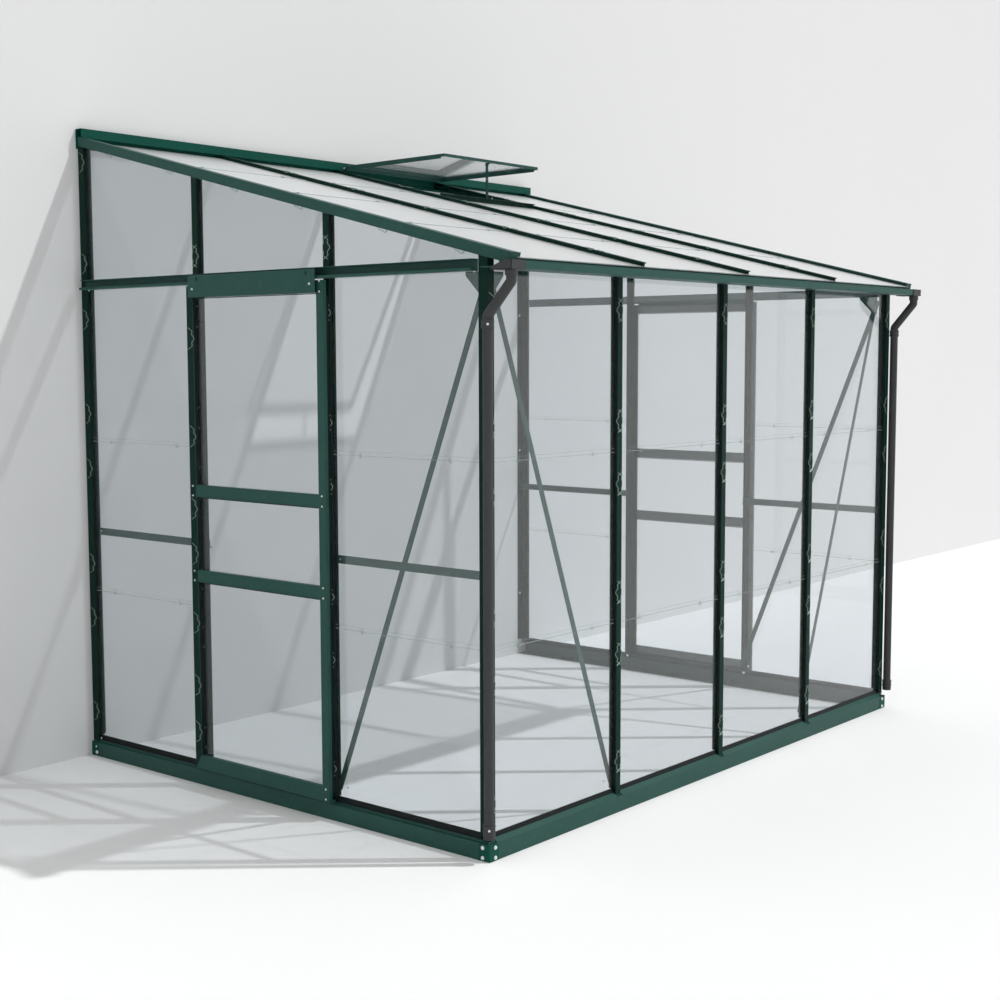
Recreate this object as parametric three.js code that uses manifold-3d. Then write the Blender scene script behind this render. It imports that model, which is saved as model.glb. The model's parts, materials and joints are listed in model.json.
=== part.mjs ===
// Lean-to greenhouse: a green aluminium frame glazed in single panes, with a sliding door in each
// end, a roof vent on a stay, an eaves gutter and a downpipe at each front corner.
//
// Millimetres. +X runs along the front from the left end to the right end, +Y from the front to the
// building wall, +Z up. The origin is under the middle of the whole greenhouse, on the ground.
//
// Each wall is drawn by its depth, counted inwards from the outer face of the base rail, and the
// roof by its depth under the outer face of the roof bars.
import * as THREE from "three";
import { mergeVertices } from "three/addons/utils/BufferGeometryUtils.js";
import Module from "manifold-3d";

// Driving dimensions
const GAP = 0.3; // between pieces that touch
const OVERRUN = 5; // how far a cutting block passes the faces that it cuts
const WELD = 0.001; // corners closer than this are one
const CURVE_STEPS = 8; // straight steps in each curve of an outline
const PANE_WIDTH = 610; // one sheet of horticultural glass
const PANE_THICKNESS = 3;
const PANE_SIDE_CLEARANCE = 2; // pane edge to the stem of the bar
const FRONT_BAYS = 4;
const END_BAYS = 3;
const DOOR_BAY = 1; // counted from the front, the first bay being 0
const VENT_BAY = 2; // counted from the left, the first bay being 0
const FRONT_CORNER_MARGIN = 26; // end face of the base to the first bar line of the front
const END_CORNER_MARGIN = 32; // front face of the base to the first bar line of an end
const WALL_MARGIN = 12; // last bar line of an end to the building wall
const EAVES_LINE = 1760; // height of the roof bars' outer face above the front face of the base
const ROOF_PITCH = THREE.MathUtils.degToRad(13.94);
const ROOF_OVERHANG = 80; // roof bars beyond the front face of the base
const CAP_INSET = 8; // outer face of the wall bars behind the outer face of the base

// One section serves the wall bars and the roof bars: a cap, a stem between two panes, a seat
// behind them and a bolt slot on the inside.
const bar = {
  capWidth: 26,
  capThickness: 3,
  stem: 8,
  clipRecess: 9, // space between cap and pane for the wire clips
  seatWidth: 30,
  seatThickness: 2.4,
  slotWidth: 14,
  slotDepth: 14.3,
  slotWall: 2,
};

const base = {
  thickness: 2.4,
  faceHeight: 52,
  groovePlan: 4.6, // guide groove for the foot of the sliding door
  grooveDepth: 8,
  grooveBackRise: 2,
  ledgeSlope: 4,
  ledgeFront: 14,
  webHeight: 14, // upright behind the feet of the bars
  topFlange: 5,
  footFlange: 50,
};

const post = {
  thickness: 3,
  frontFace: 28, // of the corner post, on the front
  endFace: 34, // of the corner post, on the end
  tubeFront: 22,
  tubeEnd: 28,
  flangeReach: 11,
  lugDepth: 10, // of the lugs that carry the braces and the stiffeners
  lugWidth: 9,
  wallFace: 30,
  wallFlange: 52,
};

const gutter = {
  thickness: 2.4,
  reach: 105, // front lip beyond the front face of the base
  width: 70,
  lip: 23,
  lipCurl: 6,
  belowEaves: 66, // underside under the eaves line
  stepUp: 6, // from the underside to the flat that lies on the front bars
  flatBack: 42, // back edge of the flat behind the front face of the base
  endOverhang: 25, // beyond the end face of the base
};

const gutterEnd = {
  wall: 2.4,
  length: 63,
  outletPastEnd: 4, // axis of the outlet beyond the end face of the base
  outletForward: 10, // axis of the outlet in front of the middle of the trough
};

const downpipe = {
  radius: 15,
  wall: 2.2,
  sides: 16,
  neck: 34, // straight under the gutter
  bendHeight: 94,
  foot: 90,
  collarRadius: 19,
  collarHeight: 26,
  collarBelowBend: 10,
};

const rafter = {
  outset: 4, // its web outside the caps of the end bars
  thickness: 2.4,
  boxWidth: 26,
  height: 32,
  capReach: 36,
  seatReach: 16,
};

const ridge = {
  thickness: 2.4,
  skirtFromWall: 34,
  topRise: 32, // top above the roof bars at the skirt
  shelfReach: 13,
  barEndFromWall: 6,
  footBelowShelf: 5,
};

const track = {
  thickness: 2.4,
  belowEaves: 68, // underside under the eaves line
  height: 34,
  reach: 32, // of the shelf, from its web
  lip: 8,
  coverReach: 27,
};

const door = {
  width: 650,
  bottom: 62,
  belowTrack: 5,
  outset: 20, // outer face of the stiles outside the base
  depth: 14,
  stile: 30,
  wall: 2,
  bottomRail: 48,
  topRail: 38,
  midRail: 40,
  lowerMidRail: 704, // underside
  upperMidRail: 990, // underside
  paneInset: 8,
  finThickness: 3,
  finTop: 2.4,
  finDepth: 6,
  travel: 600,
};

const header = {
  inset: 23, // its ends inside the ends of the door
  rise: 34, // above the top of the door
  outset: 32,
  thickness: 2.4,
  boltRadius: 5.6, // heads of the axles, on the front of the plate
  boltHeight: 4,
  boltSides: 6,
};

const roller = {
  radius: 10,
  bore: 3.3,
  axle: 3,
  width: 7,
  groove: 1.5,
  fromHeaderEnd: 42,
  sides: 20,
  axleSides: 12,
};

const vent = {
  sideMargin: 15, // to the bar lines beside it
  length: 562, // hinge axis to the outer face of the front rail
  depth: 18,
  wall: 2.4,
  flange: 20,
  frontRise: 6, // of the front rail's underside over that of the side rails
  hingeRadius: 6,
  hingeSides: 16,
  hingeRail: 14, // back of the frame in front of the hinge axis
  lift: 2.3, // frame above the caps of the roof bars when shut
  openAngle: THREE.MathUtils.degToRad(14.5),
  paneClearance: 2,
};

const stay = {
  width: 12,
  thickness: 3,
  length: 142,
  pivotRadius: 3,
  pivotInset: 32, // pivot behind the outer face of the front rail
  pivotDrop: 12.5, // pivot below the top of the frame
  holeRadius: 2.5,
  holes: 3,
  holePitch: 38,
  holeSides: 10,
};

const sill = {
  thickness: 2.4,
  rise: 8, // above the caps of the roof bars
  seat: 16,
  lip: 10,
  fromVentEdge: 6,
};

const stiffener = { height: 26, flange: 12, thickness: 2.4, bottom: 812 };
const brace = { width: 20, thickness: 2.4, foot: 100, headBelowEaves: 95 };

// Derived sizes
const PITCH = PANE_WIDTH + bar.stem + 2 * PANE_SIDE_CLEARANCE; // one bay
const LENGTH = FRONT_BAYS * PITCH + 2 * FRONT_CORNER_MARGIN;
const WALL = END_CORNER_MARGIN + END_BAYS * PITCH + WALL_MARGIN;
const SIN = Math.sin(ROOF_PITCH);
const COS = Math.cos(ROOF_PITCH);
const TAN = SIN / COS;
const VENT_WIDTH = PITCH - 2 * vent.sideMargin;

// Heights under the eaves
const GUTTER_LOW = EAVES_LINE - gutter.belowEaves;
const GUTTER_FLAT = GUTTER_LOW + gutter.stepUp;
const BEND_TOP = GUTTER_LOW - downpipe.neck;
const BEND_FOOT = BEND_TOP - downpipe.bendHeight;
const TRACK_LOW = EAVES_LINE - track.belowEaves;
const DOOR_TOP = TRACK_LOW - door.belowTrack;
const BRACE_HEAD = EAVES_LINE - brace.headBelowEaves;

// Depths under the cap of a bar, the same in the walls and in the roof
const PANE_FRONT = bar.capThickness + bar.clipRecess;
const PANE_BACK = PANE_FRONT + PANE_THICKNESS;
const SEAT_FRONT = PANE_BACK + GAP;
const SEAT_BACK = SEAT_FRONT + bar.seatThickness;
const SLOT_BACK = SEAT_BACK + bar.slotDepth;
const PANE_EDGE = bar.stem / 2 + PANE_SIDE_CLEARANCE; // pane edge from the bar line

// Heights of the base rail
const LEDGE = base.faceHeight + base.grooveBackRise + base.ledgeSlope;
const BASE_TOP = LEDGE + base.webHeight;
const BASE_WEB = CAP_INSET + SEAT_BACK + GAP; // depth of its upright

const frontBarLine = (bay) => -LENGTH / 2 + FRONT_CORNER_MARGIN + bay * PITCH;
const endBarLine = (bay) => END_CORNER_MARGIN + bay * PITCH;

// Height, at a distance behind the front, of the plane that lies under the roof bars' caps by a depth.
const roofHeight = (y, depth) => EAVES_LINE + y * TAN - depth / COS;

const materials = {
  paint: new THREE.MeshStandardMaterial({ color: 0x244a3f, roughness: 0.42, metalness: 0.1 }),
  glass: new THREE.MeshStandardMaterial({
    color: 0xdfe9ea,
    roughness: 0.05,
    metalness: 0,
    transparent: true,
    opacity: 0.3,
  }),
  plastic: new THREE.MeshStandardMaterial({ color: 0x434445, roughness: 0.5, metalness: 0 }),
  nylon: new THREE.MeshStandardMaterial({ color: 0x1c1d1e, roughness: 0.6, metalness: 0 }),
};

const wasm = await Module();
wasm.setup();

// Solids joined and cut

function toSolid(geometry) {
  const plain = geometry.index ? geometry.toNonIndexed() : geometry.clone();
  plain.deleteAttribute("normal");
  plain.deleteAttribute("uv");
  const merged = mergeVertices(plain, WELD);
  return new wasm.Manifold(
    new wasm.Mesh({
      numProp: 3,
      vertProperties: new Float32Array(merged.attributes.position.array),
      triVerts: new Uint32Array(merged.index.array),
    }),
  );
}

function toGeometry(solid) {
  const mesh = solid.getMesh();
  const geometry = new THREE.BufferGeometry();
  geometry.setAttribute("position", new THREE.BufferAttribute(mesh.vertProperties, 3));
  geometry.setIndex(new THREE.BufferAttribute(mesh.triVerts, 1));
  const faceted = geometry.toNonIndexed();
  faceted.computeVertexNormals();
  return faceted;
}

function join(...geometries) {
  return toGeometry(geometries.map(toSolid).reduce((whole, next) => whole.add(next)));
}

function cut(geometry, ...tools) {
  return toGeometry(tools.map(toSolid).reduce((rest, tool) => rest.subtract(tool), toSolid(geometry)));
}

// Shapes

function outline(points, hole) {
  const shape = new THREE.Shape(points.map(([a, b]) => new THREE.Vector2(a, b)));
  if (hole) {
    shape.holes.push(new THREE.Path(hole.map(([a, b]) => new THREE.Vector2(a, b))));
  }
  return shape;
}

const extrude = (shape, depth) =>
  new THREE.ExtrudeGeometry(shape, { depth, bevelEnabled: false, curveSegments: CURVE_STEPS });

// A section in X and Y, extruded up from one height to another.
function upright(shape, from, to) {
  return extrude(shape, to - from).translate(0, 0, from);
}

// A section in Y and Z, extruded along X.
function alongX(shape, from, to) {
  const basis = new THREE.Matrix4().makeBasis(
    new THREE.Vector3(0, 1, 0),
    new THREE.Vector3(0, 0, 1),
    new THREE.Vector3(1, 0, 0),
  );
  return extrude(shape, to - from).applyMatrix4(basis).translate(from, 0, 0);
}

// A section in X and Z, extruded along Y.
function alongY(shape, from, to) {
  const basis = new THREE.Matrix4().makeBasis(
    new THREE.Vector3(1, 0, 0),
    new THREE.Vector3(0, 0, 1),
    new THREE.Vector3(0, -1, 0),
  );
  return extrude(shape, to - from).applyMatrix4(basis).translate(0, to, 0);
}

function block(low, high) {
  const size = high.map((value, axis) => value - low[axis]);
  const middle = high.map((value, axis) => (value + low[axis]) / 2);
  return new THREE.BoxGeometry(...size).translate(...middle);
}

// A round bar along X between two places.
function rodAlongX(radius, from, to, y, z, sides) {
  return new THREE.CylinderGeometry(radius, radius, to - from, sides)
    .rotateZ(Math.PI / 2)
    .translate((from + to) / 2, y, z);
}

// A round bar between two points.
function rodBetween(start, end, radius, sides) {
  const direction = end.clone().sub(start);
  const turn = new THREE.Quaternion().setFromUnitVectors(
    new THREE.Vector3(0, 1, 0),
    direction.clone().normalize(),
  );
  const middle = start.clone().add(end).multiplyScalar(1 / 2);
  return new THREE.CylinderGeometry(radius, radius, direction.length(), sides)
    .applyQuaternion(turn)
    .translate(middle.x, middle.y, middle.z);
}

// Moves each corner of a geometry to where the rule puts it.
function reshape(geometry, rule) {
  const place = geometry.attributes.position;
  for (let i = 0; i < place.count; i += 1) {
    const [x, y, z] = rule(place.getX(i), place.getY(i), place.getZ(i));
    place.setXYZ(i, x, y, z);
  }
  place.needsUpdate = true;
  geometry.computeVertexNormals();
  return geometry;
}

function piece(group, name, geometry, material, position) {
  const mesh = new THREE.Mesh(geometry, material);
  mesh.name = name;
  if (position) {
    mesh.position.set(...position);
  }
  group.add(mesh);
  return mesh;
}

// Sections

// Half of the bar's section on the +side, from the middle of the cap round to the bolt slot.
function halfBarPoints(capDepth) {
  const depth = (below) => capDepth + below;
  return [
    [bar.capWidth / 2, depth(0)],
    [bar.capWidth / 2, depth(bar.capThickness)],
    [bar.stem / 2, depth(bar.capThickness)],
    [bar.stem / 2, depth(SEAT_FRONT)],
    [bar.seatWidth / 2, depth(SEAT_FRONT)],
    [bar.seatWidth / 2, depth(SEAT_BACK)],
    [bar.slotWidth / 2, depth(SEAT_BACK)],
    [bar.slotWidth / 2, depth(SLOT_BACK)],
    [bar.slotWidth / 2 - bar.slotWall, depth(SLOT_BACK)],
    [bar.slotWidth / 2 - bar.slotWall, depth(SEAT_BACK)],
  ];
}

// The bar's section as places across the bar and depths, round both sides.
function barPoints(line, capDepth) {
  const half = halfBarPoints(capDepth);
  const right = half.map(([across, depth]) => [line + across, depth]);
  const left = half.map(([across, depth]) => [line - across, depth]).reverse();
  return [...right, ...left];
}

const swap = (points) => points.map(([a, b]) => [b, a]);

// The base rail's section: a face, a ledge with the guide groove, and an upright with a flange.
function basePoints() {
  const t = base.thickness;
  const grooveBack = t + base.groovePlan;
  const grooveFloor = base.faceHeight - base.grooveDepth;
  const ledgeStart = base.faceHeight + base.grooveBackRise;
  return [
    [0, 0],
    [base.footFlange, 0],
    [base.footFlange, t],
    [t, t],
    [t, grooveFloor - t],
    [grooveBack + t, grooveFloor - t],
    [grooveBack + t, ledgeStart - t],
    [base.ledgeFront, LEDGE - t],
    [BASE_WEB + t, LEDGE - t],
    [BASE_WEB + t, BASE_TOP - t],
    [BASE_WEB + base.topFlange, BASE_TOP - t],
    [BASE_WEB + base.topFlange, BASE_TOP],
    [BASE_WEB, BASE_TOP],
    [BASE_WEB, LEDGE],
    [base.ledgeFront, LEDGE],
    [grooveBack, ledgeStart],
    [grooveBack, grooveFloor],
    [t, grooveFloor],
    [t, base.faceHeight],
    [0, base.faceHeight],
  ];
}

// Base

// The front rail, with its ends mitred: each point lies as far from the end as it lies deep.
function frontBaseRail() {
  const rail = alongX(outline(basePoints()), -LENGTH / 2, LENGTH / 2);
  return reshape(rail, (x, y, z) => [x - Math.sign(x) * (y + GAP), y, z]);
}

// An end rail, square at the building wall and mitred at the front.
function endBaseRail() {
  const rail = alongY(outline(basePoints()), 0, WALL);
  return reshape(rail, (x, y, z) => [x, y === 0 ? x + GAP : y, z]);
}

// Walls

// Cuts the bolt slot back above the base rail's upright, so that the foot passes in front of it.
const footCut = (low, high) => block([...low, LEDGE - OVERRUN], [...high, BASE_TOP + GAP]);

function frontBar(line) {
  const foot = LEDGE + GAP;
  const head = GUTTER_FLAT - GAP;
  const whole = upright(outline(barPoints(line, CAP_INSET)), foot, head);
  const side = bar.slotWidth / 2 + OVERRUN;
  const back = CAP_INSET + SEAT_BACK;
  return cut(whole, footCut([line - side, back], [line + side, back + bar.slotDepth + OVERRUN]));
}

// An end bar runs from the base to the underside of the gable rafter, and is cut to its slope.
function endBar(line) {
  const foot = LEDGE + GAP;
  const whole = upright(outline(swap(barPoints(line, CAP_INSET))), foot, EAVES_LINE);
  const toRoof = (x, y, z) => [x, y, z > foot + OVERRUN ? roofHeight(y, SEAT_BACK + GAP) : z];
  const side = bar.slotWidth / 2 + OVERRUN;
  const back = CAP_INSET + SEAT_BACK;
  return cut(
    reshape(whole, toRoof),
    footCut([back, line - side], [back + bar.slotDepth + OVERRUN, line + side]),
  );
}

// The corner post is a small tube with a lip over each pane edge, a flange behind each pane and a
// lug on each inner face.
function cornerPost() {
  const t = post.thickness;
  const out = CAP_INSET;
  const lipBack = CAP_INSET + bar.capThickness;
  const seatFront = CAP_INSET + SEAT_FRONT;
  const seatBack = CAP_INSET + SEAT_BACK;
  const lugFace = CAP_INSET + SLOT_BACK;
  const across = CAP_INSET + post.tubeFront;
  const along = CAP_INSET + post.tubeEnd;
  const points = [
    [out, out],
    [out + post.frontFace, out],
    [out + post.frontFace, lipBack],
    [across, lipBack],
    [across, seatFront],
    [across + post.flangeReach, seatFront],
    [across + post.flangeReach, seatBack],
    [across, seatBack],
    [across, along - post.lugWidth],
    [lugFace, along - post.lugWidth],
    [lugFace, along],
    [across, along],
    [across, lugFace],
    [seatBack, lugFace],
    [seatBack, along + post.flangeReach],
    [seatFront, along + post.flangeReach],
    [seatFront, along],
    [lipBack, along],
    [lipBack, out + post.endFace],
    [out, out + post.endFace],
  ];
  const bore = [
    [out + t, out + t],
    [across - t, out + t],
    [across - t, along - t],
    [out + t, along - t],
  ];
  const foot = LEDGE + GAP;
  const whole = upright(outline(points, bore), foot, EAVES_LINE);
  const toRoof = (x, y, z) => [x, y, z > foot + OVERRUN ? roofHeight(y, SEAT_BACK + GAP) : z];
  const reach = base.footFlange + OVERRUN;
  const clear = CAP_INSET + SEAT_BACK + GAP;
  return cut(
    reshape(whole, toRoof),
    block([clear, clear, foot - OVERRUN], [reach, reach, BASE_TOP + GAP]),
    block([BASE_WEB - GAP, out, foot - OVERRUN], [reach, reach, BASE_TOP + GAP]),
    block([out, BASE_WEB - GAP, foot - OVERRUN], [reach, reach, BASE_TOP + GAP]),
  );
}

// The wall post: a face over the pane edge, a seat behind it, a slot and a flange on the wall.
function wallPost() {
  const t = bar.seatThickness;
  const face = WALL - post.wallFace;
  const paneSide = endBarLine(END_BAYS) - PANE_EDGE + PANE_SIDE_CLEARANCE;
  const lipBack = CAP_INSET + bar.capThickness;
  const seatFront = CAP_INSET + SEAT_FRONT;
  const seatBack = CAP_INSET + SEAT_BACK;
  const slotBack = CAP_INSET + SLOT_BACK;
  const points = [
    [face, CAP_INSET],
    [WALL, CAP_INSET],
    [WALL, CAP_INSET + post.wallFlange],
    [WALL - t, CAP_INSET + post.wallFlange],
    [WALL - t, seatBack],
    [paneSide + bar.slotWidth / 2, seatBack],
    [paneSide + bar.slotWidth / 2, slotBack],
    [paneSide - bar.slotWidth / 2, slotBack],
    [paneSide - bar.slotWidth / 2, seatBack],
    [paneSide - bar.seatWidth / 2, seatBack],
    [paneSide - bar.seatWidth / 2, seatFront],
    [paneSide, seatFront],
    [paneSide, lipBack],
    [face, lipBack],
  ];
  const whole = upright(outline(swap(points)), LEDGE + GAP, ridgeFoot() - GAP);
  const reach = CAP_INSET + post.wallFlange + OVERRUN;
  return cut(
    whole,
    block([BASE_WEB - GAP, face - OVERRUN, LEDGE - OVERRUN], [reach, WALL + OVERRUN, BASE_TOP + GAP]),
  );
}

function frontPane(bay) {
  const low = [frontBarLine(bay) + PANE_EDGE, CAP_INSET + PANE_FRONT, LEDGE + GAP];
  const high = [frontBarLine(bay + 1) - PANE_EDGE, CAP_INSET + PANE_BACK, GUTTER_FLAT - GAP];
  return block(low, high);
}

// A pane of an end wall, up to the slope of the gable rafter.
function endPane(bay, foot) {
  const from = endBarLine(bay) + PANE_EDGE;
  const to = endBarLine(bay + 1) - PANE_EDGE;
  const depth = SEAT_BACK + 2 * GAP;
  const points = [
    [from, foot],
    [to, foot],
    [to, roofHeight(to, depth)],
    [from, roofHeight(from, depth)],
  ];
  return alongX(outline(points), CAP_INSET + PANE_FRONT, CAP_INSET + PANE_BACK);
}

// A stiffener is an angle across the inside of a bay, on the bolt slots at its sides.
function stiffenerBar(from, to) {
  const face = CAP_INSET + SLOT_BACK + GAP;
  const t = stiffener.thickness;
  const low = stiffener.bottom;
  const points = [
    [face, low],
    [face + stiffener.flange, low],
    [face + stiffener.flange, low + t],
    [face + t, low + t],
    [face + t, low + stiffener.height],
    [face, low + stiffener.height],
  ];
  return alongY(outline(points), from, to);
}

// A flat diagonal brace between two bolts, drawn as places along the wall and heights.
function bracePoints(head, foot, width) {
  const run = [foot[0] - head[0], foot[1] - head[1]];
  const length = Math.hypot(...run);
  const half = width / 2;
  const along = run.map((value) => (value / length) * half);
  const side = [-along[1], along[0]];
  return [
    [head[0] - along[0] + side[0], head[1] - along[1] + side[1]],
    [head[0] - along[0] - side[0], head[1] - along[1] - side[1]],
    [foot[0] + along[0] - side[0], foot[1] + along[1] - side[1]],
    [foot[0] + along[0] + side[0], foot[1] + along[1] + side[1]],
  ];
}

function endBracePoints(width) {
  const head = [CAP_INSET + post.tubeEnd + brace.width / 2, BRACE_HEAD];
  const foot = [endBarLine(DOOR_BAY), brace.foot];
  return bracePoints(head, foot, width);
}

function endBrace() {
  const depth = CAP_INSET + SLOT_BACK + stiffener.thickness + 2 * GAP;
  return alongX(outline(endBracePoints(brace.width)), depth, depth + brace.thickness);
}

// The stiffener of the front bay, with its flange notched for the brace.
function frontStiffener(from, to) {
  const face = CAP_INSET + SLOT_BACK + stiffener.thickness + GAP;
  const notch = outline(endBracePoints(brace.width + 2 * GAP));
  return cut(stiffenerBar(from, to), alongX(notch, face, face + stiffener.flange));
}

function frontBrace() {
  const depth = CAP_INSET + SLOT_BACK + GAP;
  const endBraceBack = CAP_INSET + SLOT_BACK + stiffener.thickness + brace.thickness + 2 * GAP;
  const head = [endBraceBack + brace.width, BRACE_HEAD];
  const foot = [FRONT_CORNER_MARGIN + PITCH, brace.foot];
  const strip = upright(outline(bracePoints(head, foot, brace.width)), 0, brace.thickness);
  return strip.rotateX(Math.PI / 2).translate(0, depth + brace.thickness, 0);
}

// Roof, drawn in the plane of the roof: X, then up the slope, then out of the roof

const slopePlace = (y, depth) => (y - depth * SIN) / COS; // up the slope, of a point at y and a depth
const barTop = () => WALL - ridge.barEndFromWall;

// Cuts the top end of a roof piece upright, parallel to the building wall.
function plumbTop(geometry) {
  const top = slopePlace(barTop(), 0);
  return reshape(geometry, (x, s, n) => [x, s > 0 ? top + n * TAN : s, n]);
}

const roofSection = (points) => outline(points.map(([across, depth]) => [across, -depth]));

function roofBar(line) {
  const whole = alongY(roofSection(barPoints(line, 0)), slopePlace(-ROOF_OVERHANG, 0), slopePlace(WALL, 0));
  const side = bar.slotWidth / 2 + OVERRUN;
  const clearOfGutter = slopePlace(gutterBack() + OVERRUN, SLOT_BACK);
  const slotEnd = block(
    [line - side, slopePlace(-ROOF_OVERHANG, 0) - OVERRUN, -SLOT_BACK - OVERRUN],
    [line + side, clearOfGutter, -SEAT_BACK],
  );
  return cut(plumbTop(whole), slotEnd);
}

// The gable rafter: a box beside the roof pane, a cap and a seat for that pane, and a web that
// hangs over the heads of the end bars.
function gableRafter() {
  const t = rafter.thickness;
  const out = rafter.outset;
  const boxSide = out + rafter.boxWidth;
  const points = [
    [out, 0],
    [out + rafter.capReach, 0],
    [out + rafter.capReach, bar.capThickness],
    [boxSide, bar.capThickness],
    [boxSide, SEAT_FRONT],
    [boxSide + rafter.seatReach, SEAT_FRONT],
    [boxSide + rafter.seatReach, SEAT_BACK],
    [out + t, SEAT_BACK],
    [out + t, rafter.height],
    [out, rafter.height],
  ];
  const bore = [
    [out + t, bar.capThickness],
    [boxSide - t, bar.capThickness],
    [boxSide - t, SEAT_FRONT],
    [out + t, SEAT_FRONT],
  ];
  const foot = slopePlace(-ROOF_OVERHANG, 0);
  const head = slopePlace(WALL, 0);
  return cut(
    plumbTop(alongY(roofSection(points), foot, head)),
    alongY(roofSection(bore), foot - OVERRUN, head + OVERRUN),
  );
}

// A roof pane from below the ends of the bars up to a place on the slope.
function roofPane(bay, top) {
  const low = [frontBarLine(bay) + PANE_EDGE, slopePlace(-ROOF_OVERHANG, 0) - OVERRUN, -PANE_BACK];
  const high = [frontBarLine(bay + 1) - PANE_EDGE, top, -PANE_FRONT];
  return block(low, high);
}

// The ridge rail on the wall: a skirt over the heads of the panes and a shelf under the bars.
function ridgeFoot() {
  return roofHeight(WALL - ridge.shelfReach, SLOT_BACK + GAP) - ridge.thickness - ridge.footBelowShelf;
}

const ridgeSkirt = () => WALL - ridge.skirtFromWall;

function ridgeRail() {
  const t = ridge.thickness;
  const skirt = ridgeSkirt();
  const skirtFoot = roofHeight(skirt + t, 0) + GAP;
  const top = skirtFoot + ridge.topRise;
  const shelfFront = WALL - t - ridge.shelfReach;
  const shelf = (y) => roofHeight(y, SLOT_BACK) - GAP;
  const points = [
    [WALL, ridgeFoot()],
    [WALL, top],
    [skirt, top],
    [skirt, skirtFoot],
    [skirt + t, skirtFoot],
    [skirt + t, top - t],
    [WALL - t, top - t],
    [WALL - t, shelf(WALL - t)],
    [shelfFront, shelf(shelfFront)],
    [shelfFront, shelf(shelfFront) - t],
    [WALL - t, shelf(WALL - t) - t],
    [WALL - t, ridgeFoot()],
  ];
  return alongX(outline(points), -LENGTH / 2, LENGTH / 2);
}

// Gutter

const gutterBack = () => gutter.width - gutter.reach; // back wall of the trough

function gutterRail() {
  const t = gutter.thickness;
  const front = -gutter.reach;
  const back = gutterBack();
  const low = GUTTER_LOW;
  const flat = GUTTER_FLAT;
  const backTop = roofHeight(back - t, SEAT_BACK) - GAP;
  const points = [
    [front, low],
    [back, low],
    [back, flat],
    [gutter.flatBack, flat],
    [gutter.flatBack, flat + t],
    [back, flat + t],
    [back, backTop],
    [back - t, backTop],
    [back - t, low + t],
    [front + t, low + t],
    [front + t, low + gutter.lip - t],
    [front + gutter.lipCurl, low + gutter.lip - t],
    [front + gutter.lipCurl, low + gutter.lip],
    [front, low + gutter.lip],
  ];
  const half = LENGTH / 2;
  const end = half + gutter.endOverhang;
  const whole = alongX(outline(points), -end, end);
  const bore = downpipe.radius - downpipe.wall;
  const postReach = CAP_INSET + post.tubeFront + post.flangeReach + GAP;
  const webReach = rafter.outset + rafter.thickness + GAP;
  const tools = [-1, 1].flatMap((side) => {
    const span = (inner, outer) => [side * inner, side * outer].sort((a, b) => a - b);
    const [postFrom, postTo] = span(half - postReach, end + OVERRUN);
    const [webFrom, webTo] = span(half - webReach, end + OVERRUN);
    return [
      // room for the corner post, which stands up to the rafter
      block(
        [postFrom, CAP_INSET - GAP, flat - OVERRUN],
        [postTo, gutter.flatBack + OVERRUN, flat + t + OVERRUN],
      ),
      // room for the rafter's web above the trough
      block([webFrom, back - t - OVERRUN, flat + t], [webTo, back + OVERRUN, backTop + OVERRUN]),
      // outlet
      new THREE.CylinderGeometry(bore, bore, t + 2 * OVERRUN, downpipe.sides)
        .rotateX(Math.PI / 2)
        .translate(side * (half + gutterEnd.outletPastEnd), outletPlace(), low + t / 2),
    ];
  });
  return cut(whole, ...tools);
}

const outletPlace = () => (gutterBack() - gutter.reach) / 2 - gutterEnd.outletForward;

// A cup round the end of the trough, open towards the gutter, under which the downpipe hangs.
function gutterEndCup() {
  const w = gutterEnd.wall;
  const from = -gutter.endOverhang - GAP;
  const to = gutterEnd.length - gutter.endOverhang;
  const front = -gutter.reach - GAP;
  const back = gutterBack() + GAP;
  const low = GUTTER_LOW - GAP;
  const high = GUTTER_LOW + gutter.lip;
  return cut(
    block([from - w, front - w, low - w], [to, back + w, high]),
    block([from, front, low], [to + OVERRUN, back, high + OVERRUN]),
    // the back stops under the gutter's flat
    block(
      [from, back - OVERRUN, GUTTER_FLAT - GAP],
      [to + OVERRUN, back + w + OVERRUN, high + OVERRUN],
    ),
  );
}

// The downpipe with its gutter end: a bent pipe with two collars, which stands off the corner
// post by the radius of the collars.
function downpipeRun() {
  const place = CAP_INSET - (downpipe.collarRadius + GAP) / Math.SQRT2;
  const outlet = [-gutterEnd.outletPastEnd, outletPlace()];
  const points = [
    new THREE.Vector3(...outlet, GUTTER_LOW - GAP - gutterEnd.wall / 2),
    new THREE.Vector3(...outlet, BEND_TOP),
    new THREE.Vector3(place, place, BEND_FOOT),
    new THREE.Vector3(place, place, downpipe.foot),
  ];
  const run = (radius, overrun) => {
    const ends = points.map((point) => point.clone());
    ends[0].z += overrun;
    ends[ends.length - 1].z -= overrun;
    const rods = ends
      .slice(1)
      .map((point, index) => rodBetween(ends[index], point, radius, downpipe.sides));
    const elbows = ends
      .slice(1, -1)
      .map(({ x, y, z }) =>
        new THREE.SphereGeometry(radius, downpipe.sides, downpipe.sides / 2)
          .rotateX(Math.PI / 2)
          .translate(x, y, z),
      );
    return join(...rods, ...elbows);
  };
  const collar = (from) =>
    rodBetween(
      new THREE.Vector3(place, place, from),
      new THREE.Vector3(place, place, from + downpipe.collarHeight),
      downpipe.collarRadius,
      downpipe.sides,
    );
  const body = join(
    gutterEndCup(),
    run(downpipe.radius, 0),
    collar(BEND_FOOT - downpipe.collarBelowBend - downpipe.collarHeight),
    collar(downpipe.foot),
  );
  return cut(body, run(downpipe.radius - downpipe.wall, OVERRUN));
}

// Door

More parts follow.
